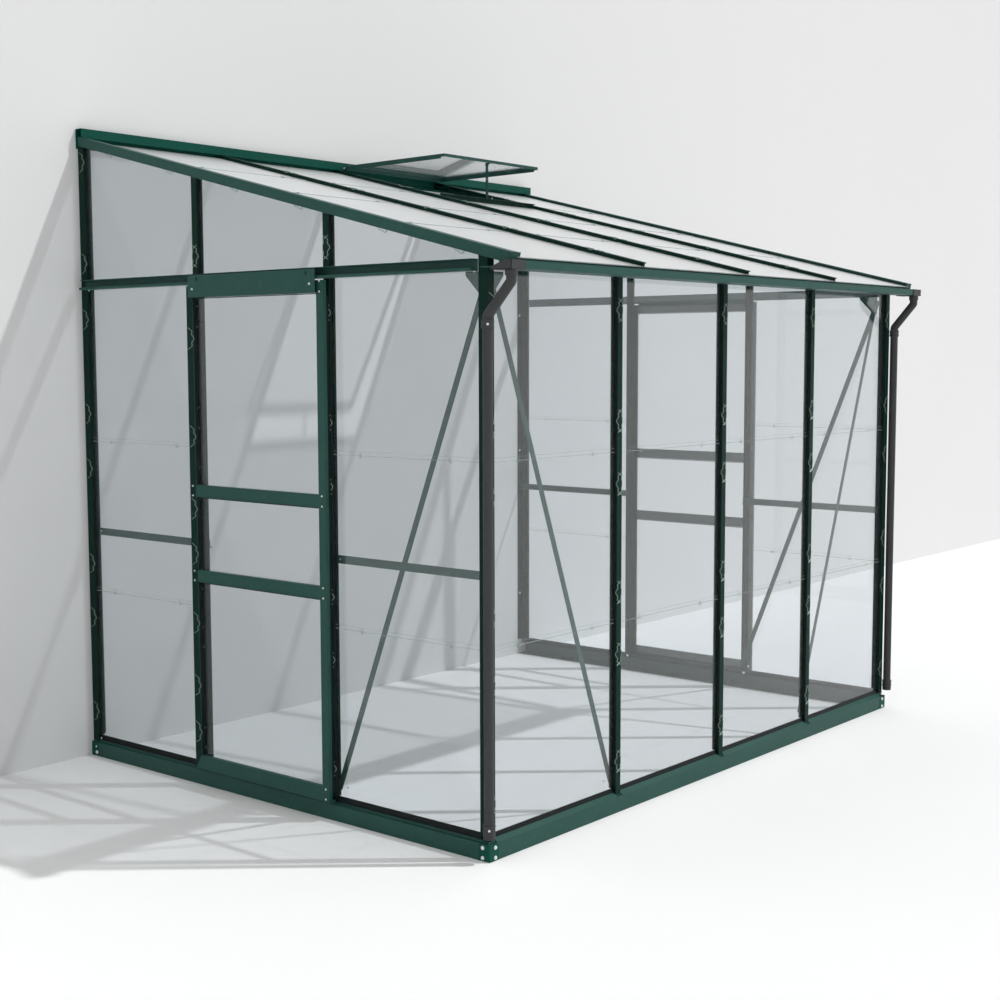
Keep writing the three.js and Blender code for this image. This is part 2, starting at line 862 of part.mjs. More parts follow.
// The track over the door: a web on the end bars, a shelf with an upturned lip for the rollers
// and a cover above them.
function doorTrack() {
  const t = track.thickness;
  const back = CAP_INSET - GAP;
  const low = TRACK_LOW;
  const high = low + track.height;
  const points = [
    [back, low],
    [back, high],
    [back - track.coverReach, high],
    [back - track.coverReach, high - t],
    [back - t, high - t],
    [back - t, low + t],
    [back - track.reach + t, low + t],
    [back - track.reach + t, low + track.lip],
    [back - track.reach, low + track.lip],
    [back - track.reach, low],
  ];
  const from = CAP_INSET + post.endFace + GAP;
  const to = WALL - post.wallFace - GAP;
  return alongY(outline(points), from, to);
}

const doorMiddle = () => endBarLine(DOOR_BAY) + PITCH / 2;
const headerHalf = () => door.width / 2 - header.inset;
const rollerHeight = () => TRACK_LOW + track.lip + roller.radius - roller.groove + GAP;
const rollerDepth = () => CAP_INSET - GAP - track.reach + track.thickness / 2;
const rollerPlaces = () =>
  [-1, 1].map((side) => doorMiddle() + side * (headerHalf() - roller.fromHeaderEnd));

// The door's frame: stiles and rails in one plane, hollow behind, with the header plate in front
// of the stiles, the rollers' axles on it and the guide fin under the bottom rail.
function doorFrame() {
  const middle = doorMiddle();
  const half = door.width / 2;
  const out = -door.outset;
  const back = out + door.depth;
  const rails = [
    [door.bottom, door.bottom + door.bottomRail],
    [door.lowerMidRail, door.lowerMidRail + door.midRail],
    [door.upperMidRail, door.upperMidRail + door.midRail],
    [DOOR_TOP - door.topRail, DOOR_TOP],
  ];
  const whole = block([out, middle - half, door.bottom], [back, middle + half, DOOR_TOP]);
  const windows = rails
    .slice(1)
    .map(([low], index) =>
      block(
        [out - OVERRUN, middle - half + door.stile, rails[index][1]],
        [back + OVERRUN, middle + half - door.stile, low],
      ),
    );
  const hollows = rails.map(([low, high]) =>
    block(
      [out + door.wall, middle - half + door.wall, low + door.wall],
      [back + OVERRUN, middle + half - door.wall, high - door.wall],
    ),
  );
  const stileHollows = [-1, 1].map((side) => {
    const outer = middle + side * (half - door.wall);
    const inner = middle + side * (half - door.stile + door.wall);
    return block(
      [out + door.wall, Math.min(outer, inner), door.bottom + door.wall],
      [back + OVERRUN, Math.max(outer, inner), DOOR_TOP - door.wall],
    );
  });
  const frame = cut(whole, ...windows, ...hollows, ...stileHollows);

  const from = middle - headerHalf();
  const to = middle + headerHalf();
  const plateLow = DOOR_TOP - door.topRail;
  const plateBack = -header.outset + header.thickness;
  const plate = block([-header.outset, from, plateLow], [plateBack, to, DOOR_TOP + header.rise]);
  const plateMiddle = plateBack - header.thickness / 2;
  const flange = block(
    [plateMiddle, from, plateLow],
    [out + door.wall / 2, to, plateLow + header.thickness],
  );
  const axleEnd = rollerDepth() + roller.width / 2 + GAP;
  const headFace = -header.outset - header.boltHeight;
  const axles = rollerPlaces().flatMap((y) => [
    rodAlongX(roller.axle, plateMiddle, axleEnd, y, rollerHeight(), roller.axleSides),
    rodAlongX(header.boltRadius, headFace, plateMiddle, y, rollerHeight(), header.boltSides),
  ]);

  const finBack = base.thickness + (base.groovePlan + door.finThickness) / 2;
  const finShelf = block(
    [back - door.wall / 2, middle - half, door.bottom],
    [finBack, middle + half, door.bottom + door.finTop],
  );
  const fin = block(
    [finBack - door.finThickness, middle - half, base.faceHeight - door.finDepth],
    [finBack, middle + half, door.bottom + door.finTop / 2],
  );
  return join(frame, plate, flange, ...axles, finShelf, fin);
}

// The door's glass lies on the back of the frame, above the fin's shelf.
function doorPane() {
  const front = -door.outset + door.depth + GAP;
  const half = door.width / 2 - door.paneInset;
  return block(
    [front, doorMiddle() - half, door.bottom + door.finTop + GAP],
    [front + PANE_THICKNESS, doorMiddle() + half, DOOR_TOP - door.paneInset],
  );
}

// A door roller: a ring with a groove that runs on the track's lip.
function doorRoller() {
  const half = roller.width / 2;
  const profile = [
    [roller.bore, -half],
    [roller.radius, -half],
    [roller.radius - roller.groove, -track.thickness / 2 - GAP],
    [roller.radius - roller.groove, track.thickness / 2 + GAP],
    [roller.radius, half],
    [roller.bore, half],
    [roller.bore, -half],
  ].map(([radius, along]) => new THREE.Vector2(radius, along));
  return new THREE.LatheGeometry(profile, roller.sides).rotateZ(Math.PI / 2);
}

// Vent, drawn shut in the plane of the roof, round its hinge axis

const hingeY = () => ridgeSkirt() - vent.hingeRadius - GAP;
const hingeRise = () => vent.lift + vent.depth / 2;
const hingeSlope = () => slopePlace(hingeY(), -hingeRise());
const ventMiddle = () => (frontBarLine(VENT_BAY) + frontBarLine(VENT_BAY + 1)) / 2;
const ventEdge = () => hingeSlope() - vent.length; // up the slope, of the shut vent's front edge

function ventFrame() {
  const half = VENT_WIDTH / 2;
  const low = -vent.depth / 2;
  const high = vent.depth / 2;
  const w = vent.wall;
  const front = -vent.length;
  const back = -vent.hingeRail;
  const whole = block([-half, front, low], [half, back, high]);
  const pocket = block([-half + w, front + w, low - OVERRUN], [half - w, back - w, high - w]);
  const opening = block(
    [-half + vent.flange, front + vent.flange, low],
    [half - vent.flange, back - vent.flange, high + OVERRUN],
  );
  const underFront = block(
    [-half - OVERRUN, front - OVERRUN, low - OVERRUN],
    [half + OVERRUN, front + vent.flange, low + vent.frontRise],
  );
  const barrel = rodAlongX(vent.hingeRadius, -half, half, 0, 0, vent.hingeSides);
  const leaf = block([-half, back - w / 2, -w / 2], [half, 0, w / 2]);
  const pinY = front + stay.pivotInset;
  const pinZ = high - stay.pivotDrop;
  const pin = rodAlongX(
    stay.pivotRadius - GAP,
    -stay.thickness / 2 - GAP - w,
    stay.thickness / 2 + w,
    pinY,
    pinZ,
    stay.holeSides,
  );
  const ear = cut(
    block(
      [-stay.thickness / 2 - GAP - w, front + w / 2, pinZ - stay.pivotRadius - w],
      [-stay.thickness / 2 - GAP, pinY + stay.pivotRadius + w, pinZ + stay.pivotRadius + w],
    ),
    underFront,
  );
  return join(cut(whole, pocket, opening, underFront), barrel, leaf, ear, pin);
}

// The pane lies under the frame's top flanges.
function ventPane() {
  const edge = VENT_WIDTH / 2 - vent.wall - vent.paneClearance;
  const high = vent.depth / 2 - vent.wall - GAP;
  return block(
    [-edge, -vent.length + vent.wall + vent.paneClearance, high - PANE_THICKNESS],
    [edge, -vent.hingeRail - vent.wall - vent.paneClearance, high],
  );
}

// The stay: a flat bar with a row of holes, hanging from its pivot.
function ventStay() {
  const half = stay.width / 2;
  const end = stay.length - half;
  const shape = new THREE.Shape();
  shape.absarc(0, 0, half, 0, Math.PI, false);
  shape.lineTo(-half, -end);
  shape.absarc(0, -end, half, Math.PI, 2 * Math.PI, false);
  shape.closePath();
  const holes = [0];
  for (let i = 0; i < stay.holes; i += 1) {
    holes.push(-end + i * stay.holePitch);
  }
  holes.forEach((z, index) => {
    const path = new THREE.Path();
    const points = [];
    for (let i = 0; i < stay.holeSides; i += 1) {
      const angle = (i / stay.holeSides) * 2 * Math.PI;
      const radius = index === 0 ? stay.pivotRadius : stay.holeRadius;
      points.push(new THREE.Vector2(radius * Math.cos(angle), z + radius * Math.sin(angle)));
    }
    path.setFromPoints(points);
    shape.holes.push(path);
  });
  return alongX(shape, -stay.thickness / 2, stay.thickness / 2);
}

// The vent's sill across the bay: it holds the head of the short pane, and the shut vent lies on it.
function ventSill() {
  const t = sill.thickness;
  const back = ventEdge() + sill.fromVentEdge;
  const points = [
    [back, -SEAT_BACK],
    [back, sill.rise],
    [back - sill.lip, sill.rise],
    [back - sill.lip, sill.rise - t],
    [back - t, sill.rise - t],
    [back - t, -SEAT_FRONT],
    [back - sill.seat, -SEAT_FRONT],
    [back - sill.seat, -SEAT_BACK],
  ];
  const side = bar.seatWidth / 2 + GAP;
  return alongX(outline(points), frontBarLine(VENT_BAY) + side, frontBarLine(VENT_BAY + 1) - side);
}

// Assembly

const { paint, glass, plastic, nylon } = materials;

// What an end wall holds, with X counted inwards from the end face of the base.
function endWall(side) {
  const end = new THREE.Group();
  const add = (name, geometry, material, position) =>
    piece(end, side + "_" + name, geometry, material, position);
  add("base_rail", endBaseRail(), paint);
  add("corner_post", cornerPost(), paint);
  add("wall_post", wallPost(), paint);
  for (let bay = 1; bay < END_BAYS; bay += 1) {
    add("end_bar_" + bay, endBar(endBarLine(bay)), paint);
  }
  for (let bay = 0; bay < END_BAYS; bay += 1) {
    const foot = bay === DOOR_BAY ? TRACK_LOW + track.lip : LEDGE + GAP;
    add("end_pane_" + (bay + 1), endPane(bay, foot), glass);
  }
  const slot = bar.slotWidth / 2;
  const postInside = CAP_INSET + post.tubeEnd - post.lugWidth;
  add("front_stiffener", frontStiffener(postInside, endBarLine(DOOR_BAY) + slot), paint);
  add(
    "wall_stiffener",
    stiffenerBar(endBarLine(DOOR_BAY + 1) - slot, endBarLine(END_BAYS) - PANE_EDGE + slot),
    paint,
  );
  add("end_brace", endBrace(), paint);
  add("front_brace", frontBrace(), paint);
  add("door_track", doorTrack(), paint);
  add("downpipe", downpipeRun(), plastic);

  add("door_frame", doorFrame(), paint);
  add("door_pane", doorPane(), glass);
  rollerPlaces().forEach((y, index) => {
    const name = index === 0 ? "door_roller_front" : "door_roller_wall";
    add(name, doorRoller(), nylon, [rollerDepth(), y, rollerHeight()]);
  });
  return end;
}

// The right end is the left end mirrored.
function placeEnd(group, side) {
  group.position.x = side === "left" ? -LENGTH / 2 : LENGTH / 2;
  group.scale.x = side === "left" ? 1 : -1;
  return group;
}

function frontWall() {
  const front = new THREE.Group();
  piece(front, "front_base_rail", frontBaseRail(), paint);
  for (let bay = 1; bay < FRONT_BAYS; bay += 1) {
    piece(front, "front_bar_" + bay, frontBar(frontBarLine(bay)), paint);
  }
  for (let bay = 0; bay < FRONT_BAYS; bay += 1) {
    piece(front, "front_pane_" + (bay + 1), frontPane(bay), glass);
  }
  piece(front, "gutter", gutterRail(), paint);
  piece(front, "ridge_rail", ridgeRail(), paint);
  return front;
}

function roof() {
  const slope = new THREE.Group();
  slope.position.z = EAVES_LINE;
  slope.rotation.x = ROOF_PITCH;
  for (const side of ["left", "right"]) {
    const end = placeEnd(new THREE.Group(), side);
    piece(end, side + "_gable_rafter", gableRafter(), paint);
    slope.add(end);
  }
  for (let bay = 1; bay < FRONT_BAYS; bay += 1) {
    piece(slope, "roof_bar_" + bay, roofBar(frontBarLine(bay)), paint);
  }
  const paneTop = slopePlace(WALL - ridge.shelfReach - ridge.thickness, 0) - OVERRUN;
  const shortTop = ventEdge() + sill.fromVentEdge - sill.thickness - GAP;
  for (let bay = 0; bay < FRONT_BAYS; bay += 1) {
    const top = bay === VENT_BAY ? shortTop : paneTop;
    piece(slope, "roof_pane_" + (bay + 1), roofPane(bay, top), glass);
  }
  piece(slope, "vent_sill", ventSill(), paint);

  const hinge = new THREE.Group();
  hinge.position.set(ventMiddle(), hingeSlope(), hingeRise());
  hinge.rotation.x = -vent.openAngle;
  piece(hinge, "vent_frame", ventFrame(), paint);
  piece(hinge, "vent_pane", ventPane(), glass);
  const hung = piece(hinge, "vent_stay", ventStay(), paint, [
    0,
    -vent.length + stay.pivotInset,
    vent.depth / 2 - stay.pivotDrop,
  ]);
  hung.rotation.x = vent.openAngle - ROOF_PITCH; // it hangs plumb
  slope.add(hinge);
  return slope;
}

const greenhouse = new THREE.Group();
const whole = new THREE.Group();
for (const side of ["left", "right"]) {
  whole.add(placeEnd(endWall(side), side));
}
whole.add(frontWall());
whole.add(roof());
const frontMost = -gutter.reach - GAP - gutterEnd.wall;
whole.position.y = -(frontMost + WALL) / 2;
greenhouse.add(whole);

export default greenhouse;
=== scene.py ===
"""Finishes and small fittings of a lean-to greenhouse, laid out as an add-on.

Lengths are in metres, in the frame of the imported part: +X along the front, +Y to the building
wall, +Z up, with the origin on the ground under the middle.
"""

import json
import math

import bmesh
import bpy
from bpy.props import FloatProperty, FloatVectorProperty, IntProperty, PointerProperty
from mathutils import Matrix, Vector


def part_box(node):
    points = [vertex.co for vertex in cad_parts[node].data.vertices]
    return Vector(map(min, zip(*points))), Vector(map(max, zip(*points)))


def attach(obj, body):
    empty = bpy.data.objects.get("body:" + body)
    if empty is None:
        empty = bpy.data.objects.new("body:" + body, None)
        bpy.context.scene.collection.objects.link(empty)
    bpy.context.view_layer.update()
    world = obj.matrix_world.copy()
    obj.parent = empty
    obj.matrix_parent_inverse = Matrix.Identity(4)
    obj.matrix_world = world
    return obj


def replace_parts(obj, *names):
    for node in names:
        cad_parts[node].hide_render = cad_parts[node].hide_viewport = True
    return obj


bl_info = {
    "name": "Lean-to Greenhouse Finish",
    "version": (1, 0, 0),
    "blender": (4, 5, 0),
    "location": "3D View > Sidebar > Greenhouse",
    "description": "Dresses a lean-to greenhouse with finishes, clips, bolts and plates",
    "category": "Object",
}

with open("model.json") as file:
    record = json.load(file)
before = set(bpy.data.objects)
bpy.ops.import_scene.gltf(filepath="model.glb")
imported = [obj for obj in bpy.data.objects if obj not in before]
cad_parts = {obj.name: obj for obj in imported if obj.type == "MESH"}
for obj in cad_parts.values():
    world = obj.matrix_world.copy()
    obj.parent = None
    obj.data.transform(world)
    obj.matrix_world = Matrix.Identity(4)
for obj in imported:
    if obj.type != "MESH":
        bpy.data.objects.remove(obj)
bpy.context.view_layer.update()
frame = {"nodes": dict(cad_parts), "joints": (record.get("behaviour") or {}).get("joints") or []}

MM = 0.001
SIDES = ("left", "right")
SIGN = {"left": -1, "right": 1}
STRUCTURE = "structure"
ALONG_X = Vector((1, 0, 0))
ALONG_Y = Vector((0, 1, 0))
UP = Vector((0, 0, 1))


# Places read from the frame


def low_of(node):
    """Lowest corner of a part of the frame."""
    return Vector(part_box(node)[0])


def high_of(node):
    """Highest corner of a part of the frame."""
    return Vector(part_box(node)[1])


def middle_of(node):
    """Middle of a part of the frame."""
    return (low_of(node) + high_of(node)) / 2


BASE_END = high_of("right_base_rail").x
BASE_FRONT = low_of("front_base_rail").y
BASE_TOP = high_of("front_base_rail").z
WALL = high_of("left_base_rail").y
CAP_FRONT = low_of("front_bar_1").y
CAP_END = high_of("right_end_bar_1").x
PANE_FRONT = low_of("front_pane_1").y
PANE_END = high_of("right_end_pane_1").x
STIFFENER_FACE = high_of("right_wall_stiffener").x
BRACE_BACK = low_of("right_end_brace").x
FRONT_BARS = [middle_of("front_bar_%d" % bay).x for bay in (1, 2, 3)]
END_BARS = [middle_of("left_end_bar_%d" % bay).y for bay in (1, 2)]
DOOR = middle_of("left_door_frame").y
DOOR_FACE = high_of("right_door_pane").x
DOOR_STILE_FACE = BASE_END + 20 * MM
STILE_WIDTH = 30 * MM
DOOR_STILE = high_of("left_door_frame").y - STILE_WIDTH
HEADER_FACE = high_of("right_door_frame").x
ROOF_PITCH = math.radians(13.94)
RAFTER_DEEP = 32 * MM
ROOF_TOP = high_of("roof_bar_1")
UP_SLOPE = Vector((0, math.cos(ROOF_PITCH), math.sin(ROOF_PITCH)))
OFF_SLOPE = Vector((0, -math.sin(ROOF_PITCH), math.cos(ROOF_PITCH)))
ROOF_FOOT = low_of("roof_bar_1").y
GUTTER_LOW = low_of("gutter").z
GUTTER_RIM = 23 * MM
CAP_HALF = 13 * MM
CORNER_LIP = BASE_END - 36 * MM
CORNER_END_LIP = BASE_FRONT + 42 * MM
WALL_LIP = WALL - 30 * MM
VENT_HINGE = Vector(next(j for j in frame["joints"] if j["name"] == "vent_hinge")["pos_m"])


def on_roof(x, up_from_foot):
    """A place on the caps of the roof bars, that far up the slope from their feet."""
    foot = Vector((x, ROOF_FOOT, ROOF_TOP.z - (ROOF_TOP.y - ROOF_FOOT) * math.tan(ROOF_PITCH)))
    return foot + UP_SLOPE * up_from_foot


def rafter_foot(y):
    """Height of the lower edge of a gable rafter at that distance from the front."""
    return ROOF_TOP.z - (ROOF_TOP.y - y) * math.tan(ROOF_PITCH) - RAFTER_DEEP / math.cos(ROOF_PITCH)


# Settings


def colour_setting(name, description, default):
    """A colour that the user can change."""
    return FloatVectorProperty(
        name=name, description=description, subtype="COLOR", size=3, min=0, max=1, default=default
    )


def share_setting(name, description, default):
    """A number from 0 to 1."""
    return FloatProperty(
        name=name, description=description, subtype="FACTOR", min=0, max=1, default=default
    )


def length_setting(name, description, metres):
    """A length in metres."""
    return FloatProperty(
        name=name, description=description, subtype="DISTANCE", min=0, default=metres
    )


def angle_setting(name, description, degrees):
    """An angle, whose default is given in degrees."""
    return FloatProperty(
        name=name, description=description, subtype="ANGLE", default=math.radians(degrees)
    )


class FinishSettings(bpy.types.PropertyGroup):
    """Colours and gloss of the finishes"""

    paint: colour_setting("Paint", "Green of the powder coat", (0.018, 0.073, 0.06))
    # Painted shade: a darker copy of the paint's green, for the bars, posts and vent sill
    shaded_bar_paint: colour_setting(
        "Bar Paint", "Deeper green of the glazing bars and posts", (0.001, 0.022, 0.015)
    )
    plate_paint: colour_setting(
        "Plate Paint", "Full green of the corner plates and the ridge", (0.004, 0.07, 0.05)
    )
    paint_gloss: share_setting(
        "Paint Gloss", "Strength of the mirroring of the powder coat", 0.18
    )
    paint_roughness: share_setting("Paint Roughness", "Roughness of the powder coat", 0.45)
    glass_tint: colour_setting("Glass Tint", "What a wall pane lets through", (0.915, 0.93, 0.938))
    roof_tint: colour_setting(
        "Roof Glass Tint", "What a dusty roof pane lets through", (0.8, 0.82, 0.825)
    )
    glass_film: share_setting(
        "Glass Film", "How much of a pane's face a film of dust veils", 0.015
    )
    roof_film: share_setting(
        "Roof Film", "How much of a roof pane's face a film of dust veils", 0.22
    )
    plastic: colour_setting("Plastic", "Grey of the downpipes", (0.035, 0.037, 0.038))
    nylon: colour_setting("Nylon", "Black of the rollers and seals", (0.004, 0.007, 0.007))
    steel: colour_setting("Steel", "Zinc plate of the bolts", (0.86, 0.87, 0.88))
    wire: colour_setting("Wire", "Spring wire of the glazing clips", (0.26, 0.34, 0.3))
    edge_rounding: length_setting(
        "Edge Rounding", "Radius that is broken off the edges of the frame", 0.5 * MM
    )


class FittingSettings(bpy.types.PropertyGroup):
    """Sizes of the small fittings"""

    clip_length: length_setting(
        "Clip Length", "Length of a wire glazing clip along its bar", 72 * MM
    )
    clip_wire: length_setting("Clip Wire", "Diameter of the wire of a glazing clip", 1.9 * MM)
    clip_from_lap: length_setting(
        "Clip From Lap", "Distance of a glazing clip from the end of its pane", 99 * MM
    )
    lower_lap: length_setting("Lower Lap", "Height of the lower lap of the wall panes", 611 * MM)
    upper_lap: length_setting("Upper Lap", "Height of the upper lap of the wall panes", 1153 * MM)
    eaves_lap: length_setting("Eaves Lap", "Height of the lap behind the door track", 1687 * MM)
    lap_depth: length_setting("Lap Depth", "How far one pane hangs over the next", 12 * MM)
    bolt_width: length_setting("Bolt Width", "Width across the corners of a bolt head", 10 * MM)
    bolt_height: length_setting(
        "Bolt Height", "Height of a bolt head with its washer", 3.8 * MM
    )
    screw_width: length_setting("Screw Width", "Width of a small screw head", 6.5 * MM)
    plate: length_setting("Plate", "Thickness of the corner plates and gussets", 1.5 * MM)


class StageSettings(bpy.types.PropertyGroup):
    """Camera, light and surroundings"""

    camera_place: FloatVectorProperty(
        name="Camera Place",
        description="Where the camera stands",
        subtype="TRANSLATION",
        size=3,
        default=(-4.5455, -3.6695, 1.4525),
    )
    camera_yaw: angle_setting("Camera Yaw", "Turn of the view from +Y towards +X", 50.228)
    camera_pitch: angle_setting("Camera Pitch", "Tilt of the view above the horizon", -5.35)
    camera_roll: angle_setting("Camera Roll", "Turn of the picture in its own plane", -0.135)
    lens: FloatProperty(
        name="Lens",
        description="Focal length in millimetres for a sensor of 36",
        default=55.037,
    )
    floor_grey: share_setting("Floor Grey", "Paleness of the floor", 0.94)
    wall_grey: share_setting("Wall Grey", "Paleness of the building wall", 0.79)
    wall_height: length_setting("Wall Height", "Height of the building wall", 12)
    sky: FloatProperty(name="Sky", description="Strength of the even light", default=0.56)
    sun: FloatProperty(name="Sun", description="Strength of the sun", default=1.85)
    sun_travel: FloatVectorProperty(
        name="Sun Travel",
        description="Direction in which the sunlight falls",
        subtype="DIRECTION",
        size=3,
        default=(-0.407, 0.465, -0.786),
    )
    sun_width: angle_setting("Sun Width", "Angle under which the sun shows, softening shadows", 1.2)
    floor_size: IntProperty(name="Floor Size", description="Half width of the floor", default=40)


def settings():
    """The three groups of settings of the current scene."""
    scene = bpy.context.scene
    return scene.greenhouse_finish, scene.greenhouse_fittings, scene.greenhouse_stage


# Shader expressions


class Term:
    """A socket in a material's node tree, with arithmetic that adds Math nodes."""

    def __init__(self, sheet, socket):
        self.sheet = sheet
        self.socket = socket

    def _math(self, operation, *values):
        return self.sheet.node("ShaderNodeMath", {"operation": operation}, dict(enumerate(values)))

    def __add__(self, other):
        return self._math("ADD", self, other)

    __radd__ = __add__

    def __sub__(self, other):
        return self._math("SUBTRACT", self, other)

    def __rsub__(self, other):
        return self._math("SUBTRACT", other, self)

    def __mul__(self, other):
        return self._math("MULTIPLY", self, other)

    __rmul__ = __mul__

    def __pow__(self, other):
        return self._math("POWER", self, other)

    def or_more(self, other):
        return self._math("MAXIMUM", self, other)


class Sheet:
    """The node tree of one material or of the world."""

    def __init__(self, owner):
        owner.use_nodes = True
        self.owner = owner
        self.tree = owner.node_tree
        self.tree.nodes.clear()

    def node(self, kind, settings_first, sockets, output=0):
        """Adds a node: its settings, then the values or links of its sockets."""
        made = self.tree.nodes.new(kind)
        for key, value in settings_first.items():
            if key == "stops":
                self._set_stops(made, value)
            else:
                setattr(made, key, value)
        for key, value in sockets.items():
            socket = made.inputs[key]
            if isinstance(value, Term):
                self.tree.links.new(value.socket, socket)
            else:
                socket.default_value = value
        return Term(self, made.outputs[output]) if made.outputs else None

    @staticmethod
    def _set_stops(ramp_node, stops):
        ramp = ramp_node.color_ramp
        while len(ramp.elements) < len(stops):
            ramp.elements.new(1)
        for element, (place, colour) in zip(ramp.elements, stops):
            element.position = place
            element.color = colour

    def place(self, stretch=(1, 1, 1)):
        """Object coordinates, stretched along the axes."""
        coordinates = self.node("ShaderNodeTexCoord", {}, {}, "Object")
        return self.node("ShaderNodeMapping", {}, {"Vector": coordinates, "Scale": stretch})

    def noise(self, scale, detail=3, stretch=(1, 1, 1)):
        """Noise from 0 to 1 at a number of cells to the metre."""
        sockets = {"Vector": self.place(stretch), "Scale": scale, "Detail": detail}
        return self.node("ShaderNodeTexNoise", {}, sockets)

    def ramp(self, value, *stops):
        """A ramp of grey between (place, grey) stops."""
        colours = [(place, (grey, grey, grey, 1)) for place, grey in stops]
        return self.node("ShaderNodeValToRGB", {"stops": colours}, {"Fac": value})

    def blend(self, factor, first, second):
        """One colour turning into another."""
        sockets = {0: factor, 6: first, 7: second}
        return self.node("ShaderNodeMix", {"data_type": "RGBA"}, sockets, 2)

    def bump(self, height, distance, strength=1):
        """A bump of that many metres."""
        sockets = {"Height": height, "Distance": distance, "Strength": strength}
        return self.node("ShaderNodeBump", {}, sockets)

    def principled(self, **sockets):
        """The surface shader."""
        named = {key.replace("_", " "): value for key, value in sockets.items()}
        return self.node("ShaderNodeBsdfPrincipled", {}, named)

    def coat(self, **sockets):
        """Finishes with the surface shader alone."""
        return self.finish(self.principled(**sockets))

    def mix(self, factor, first, second):
        """Two shaders mixed."""
        return self.node("ShaderNodeMixShader", {}, {0: factor, 1: first, 2: second})

    def finish(self, surface, kind="ShaderNodeOutputMaterial"):
        """Links the surface to the output and gives the material."""
        self.node(kind, {}, {"Surface": surface})
        return self.owner


def shade(colour, factor):
    """A colour made darker or paler, as a socket's value."""
    return (*(min(1, part * factor) for part in colour), 1)


# Finishes


def powder_coat(sheet, colour, gloss):
    """Baked powder coat: a fine orange peel, faint streaks and a trace of dust."""
    roughness = settings()[0].paint_roughness
    streaks = sheet.noise(5, 4, (1, 1, 0.2))
    peel = sheet.noise(620, 2)
    dust = sheet.ramp(sheet.noise(38, 5), (0.56, 0), (0.8, 0.04))
    tone = sheet.blend(streaks, shade(colour, 0.84), shade(colour, 1.14))
    worn = sheet.blend(dust, tone, (0.33, 0.34, 0.32, 1))
    return sheet.coat(
        Base_Color=worn,
        Roughness=roughness + (sheet.noise(90, 3) - 0.5) * 0.16,
        Specular_IOR_Level=gloss,
        Normal=sheet.bump(peel, 0.06 * MM, 0.5),
    )


def pane_glass(sheet, tint, film, haze):
    """Glass: it shows what is behind it, mirrors more at a slant and bears a film of dust."""
    facing = sheet.node("ShaderNodeLayerWeight", {}, {"Blend": 0.5}, "Facing")
    mirror = 0.043 + 0.957 * facing**5
    gleam = sheet.node("ShaderNodeBsdfAnisotropic", {}, {"Color": (1, 1, 1, 1), "Roughness": haze})
    clear = sheet.node("ShaderNodeBsdfTransparent", {}, {"Color": (*tint, 1)})
    cloth = sheet.noise(7, 6, (1, 1, 0.35))
    specks = sheet.ramp(sheet.noise(260, 2), (0.62, 0), (0.74, 1))
    veil = film * (0.55 + 0.7 * cloth + 0.5 * specks)
    dust = sheet.node("ShaderNodeBsdfDiffuse", {}, {"Color": (0.78, 0.8, 0.8, 1)})
    return sheet.finish(sheet.mix(veil, sheet.mix(mirror, clear, gleam), dust))


def glass_edge(sheet):
    """Ground edge of a pane, where two sheets lap."""
    chips = sheet.noise(240, 4)
    tone = sheet.blend(chips, (0.5, 0.56, 0.55, 1), (0.66, 0.71, 0.7, 1))
    body = sheet.principled(Base_Color=tone, Roughness=0.3 + 0.3 * chips)
    clear = sheet.node("ShaderNodeBsdfTransparent", {}, {"Color": (0.8, 0.85, 0.85, 1)})
    return sheet.finish(sheet.mix(0.35 + 0.2 * chips, clear, body))


def moulded(sheet, colour, roughness, grain, gloss):
    """Moulded plastic with a fine grain and faint flow marks."""
    flow = sheet.noise(16, 5, (1, 1, 0.3))
    fine = sheet.noise(grain, 3)
    return sheet.coat(
        Base_Color=sheet.blend(flow, shade(colour, 0.8), shade(colour, 1.25)),
        Roughness=roughness + 0.2 * (flow - 0.5),
        Specular_IOR_Level=gloss,
        Normal=sheet.bump(fine, 0.05 * MM, 0.6),
    )


def zinc_plate(sheet, colour):
    """Bright zinc with spangles and fine turning marks."""
    spangle = sheet.node(
        "ShaderNodeTexVoronoi",
        {"feature": "F1"},
        {"Vector": sheet.place(), "Scale": 700},
        "Color",
    )
    tone = sheet.blend(0.22, shade(colour, 1), spangle)
    marks = sheet.noise(1800, 2)
    return sheet.coat(
        Base_Color=sheet.blend(0.6, tone, shade(colour, 1)),
        Metallic=0.55,
        Roughness=0.3 + 0.14 * marks,
        Normal=sheet.bump(marks, 0.02 * MM, 0.4),
    )


def drawn_wire(sheet, colour):
    """Drawn spring wire, with fine marks along it."""
    marks = sheet.noise(500, 3, (1, 1, 0.15))
    return sheet.coat(
        Base_Color=sheet.blend(marks, shade(colour, 0.85), shade(colour, 1.25)),
        Metallic=0.8,
        Roughness=0.3 + 0.2 * marks,
        Normal=sheet.bump(marks, 0.02 * MM, 0.3),
    )


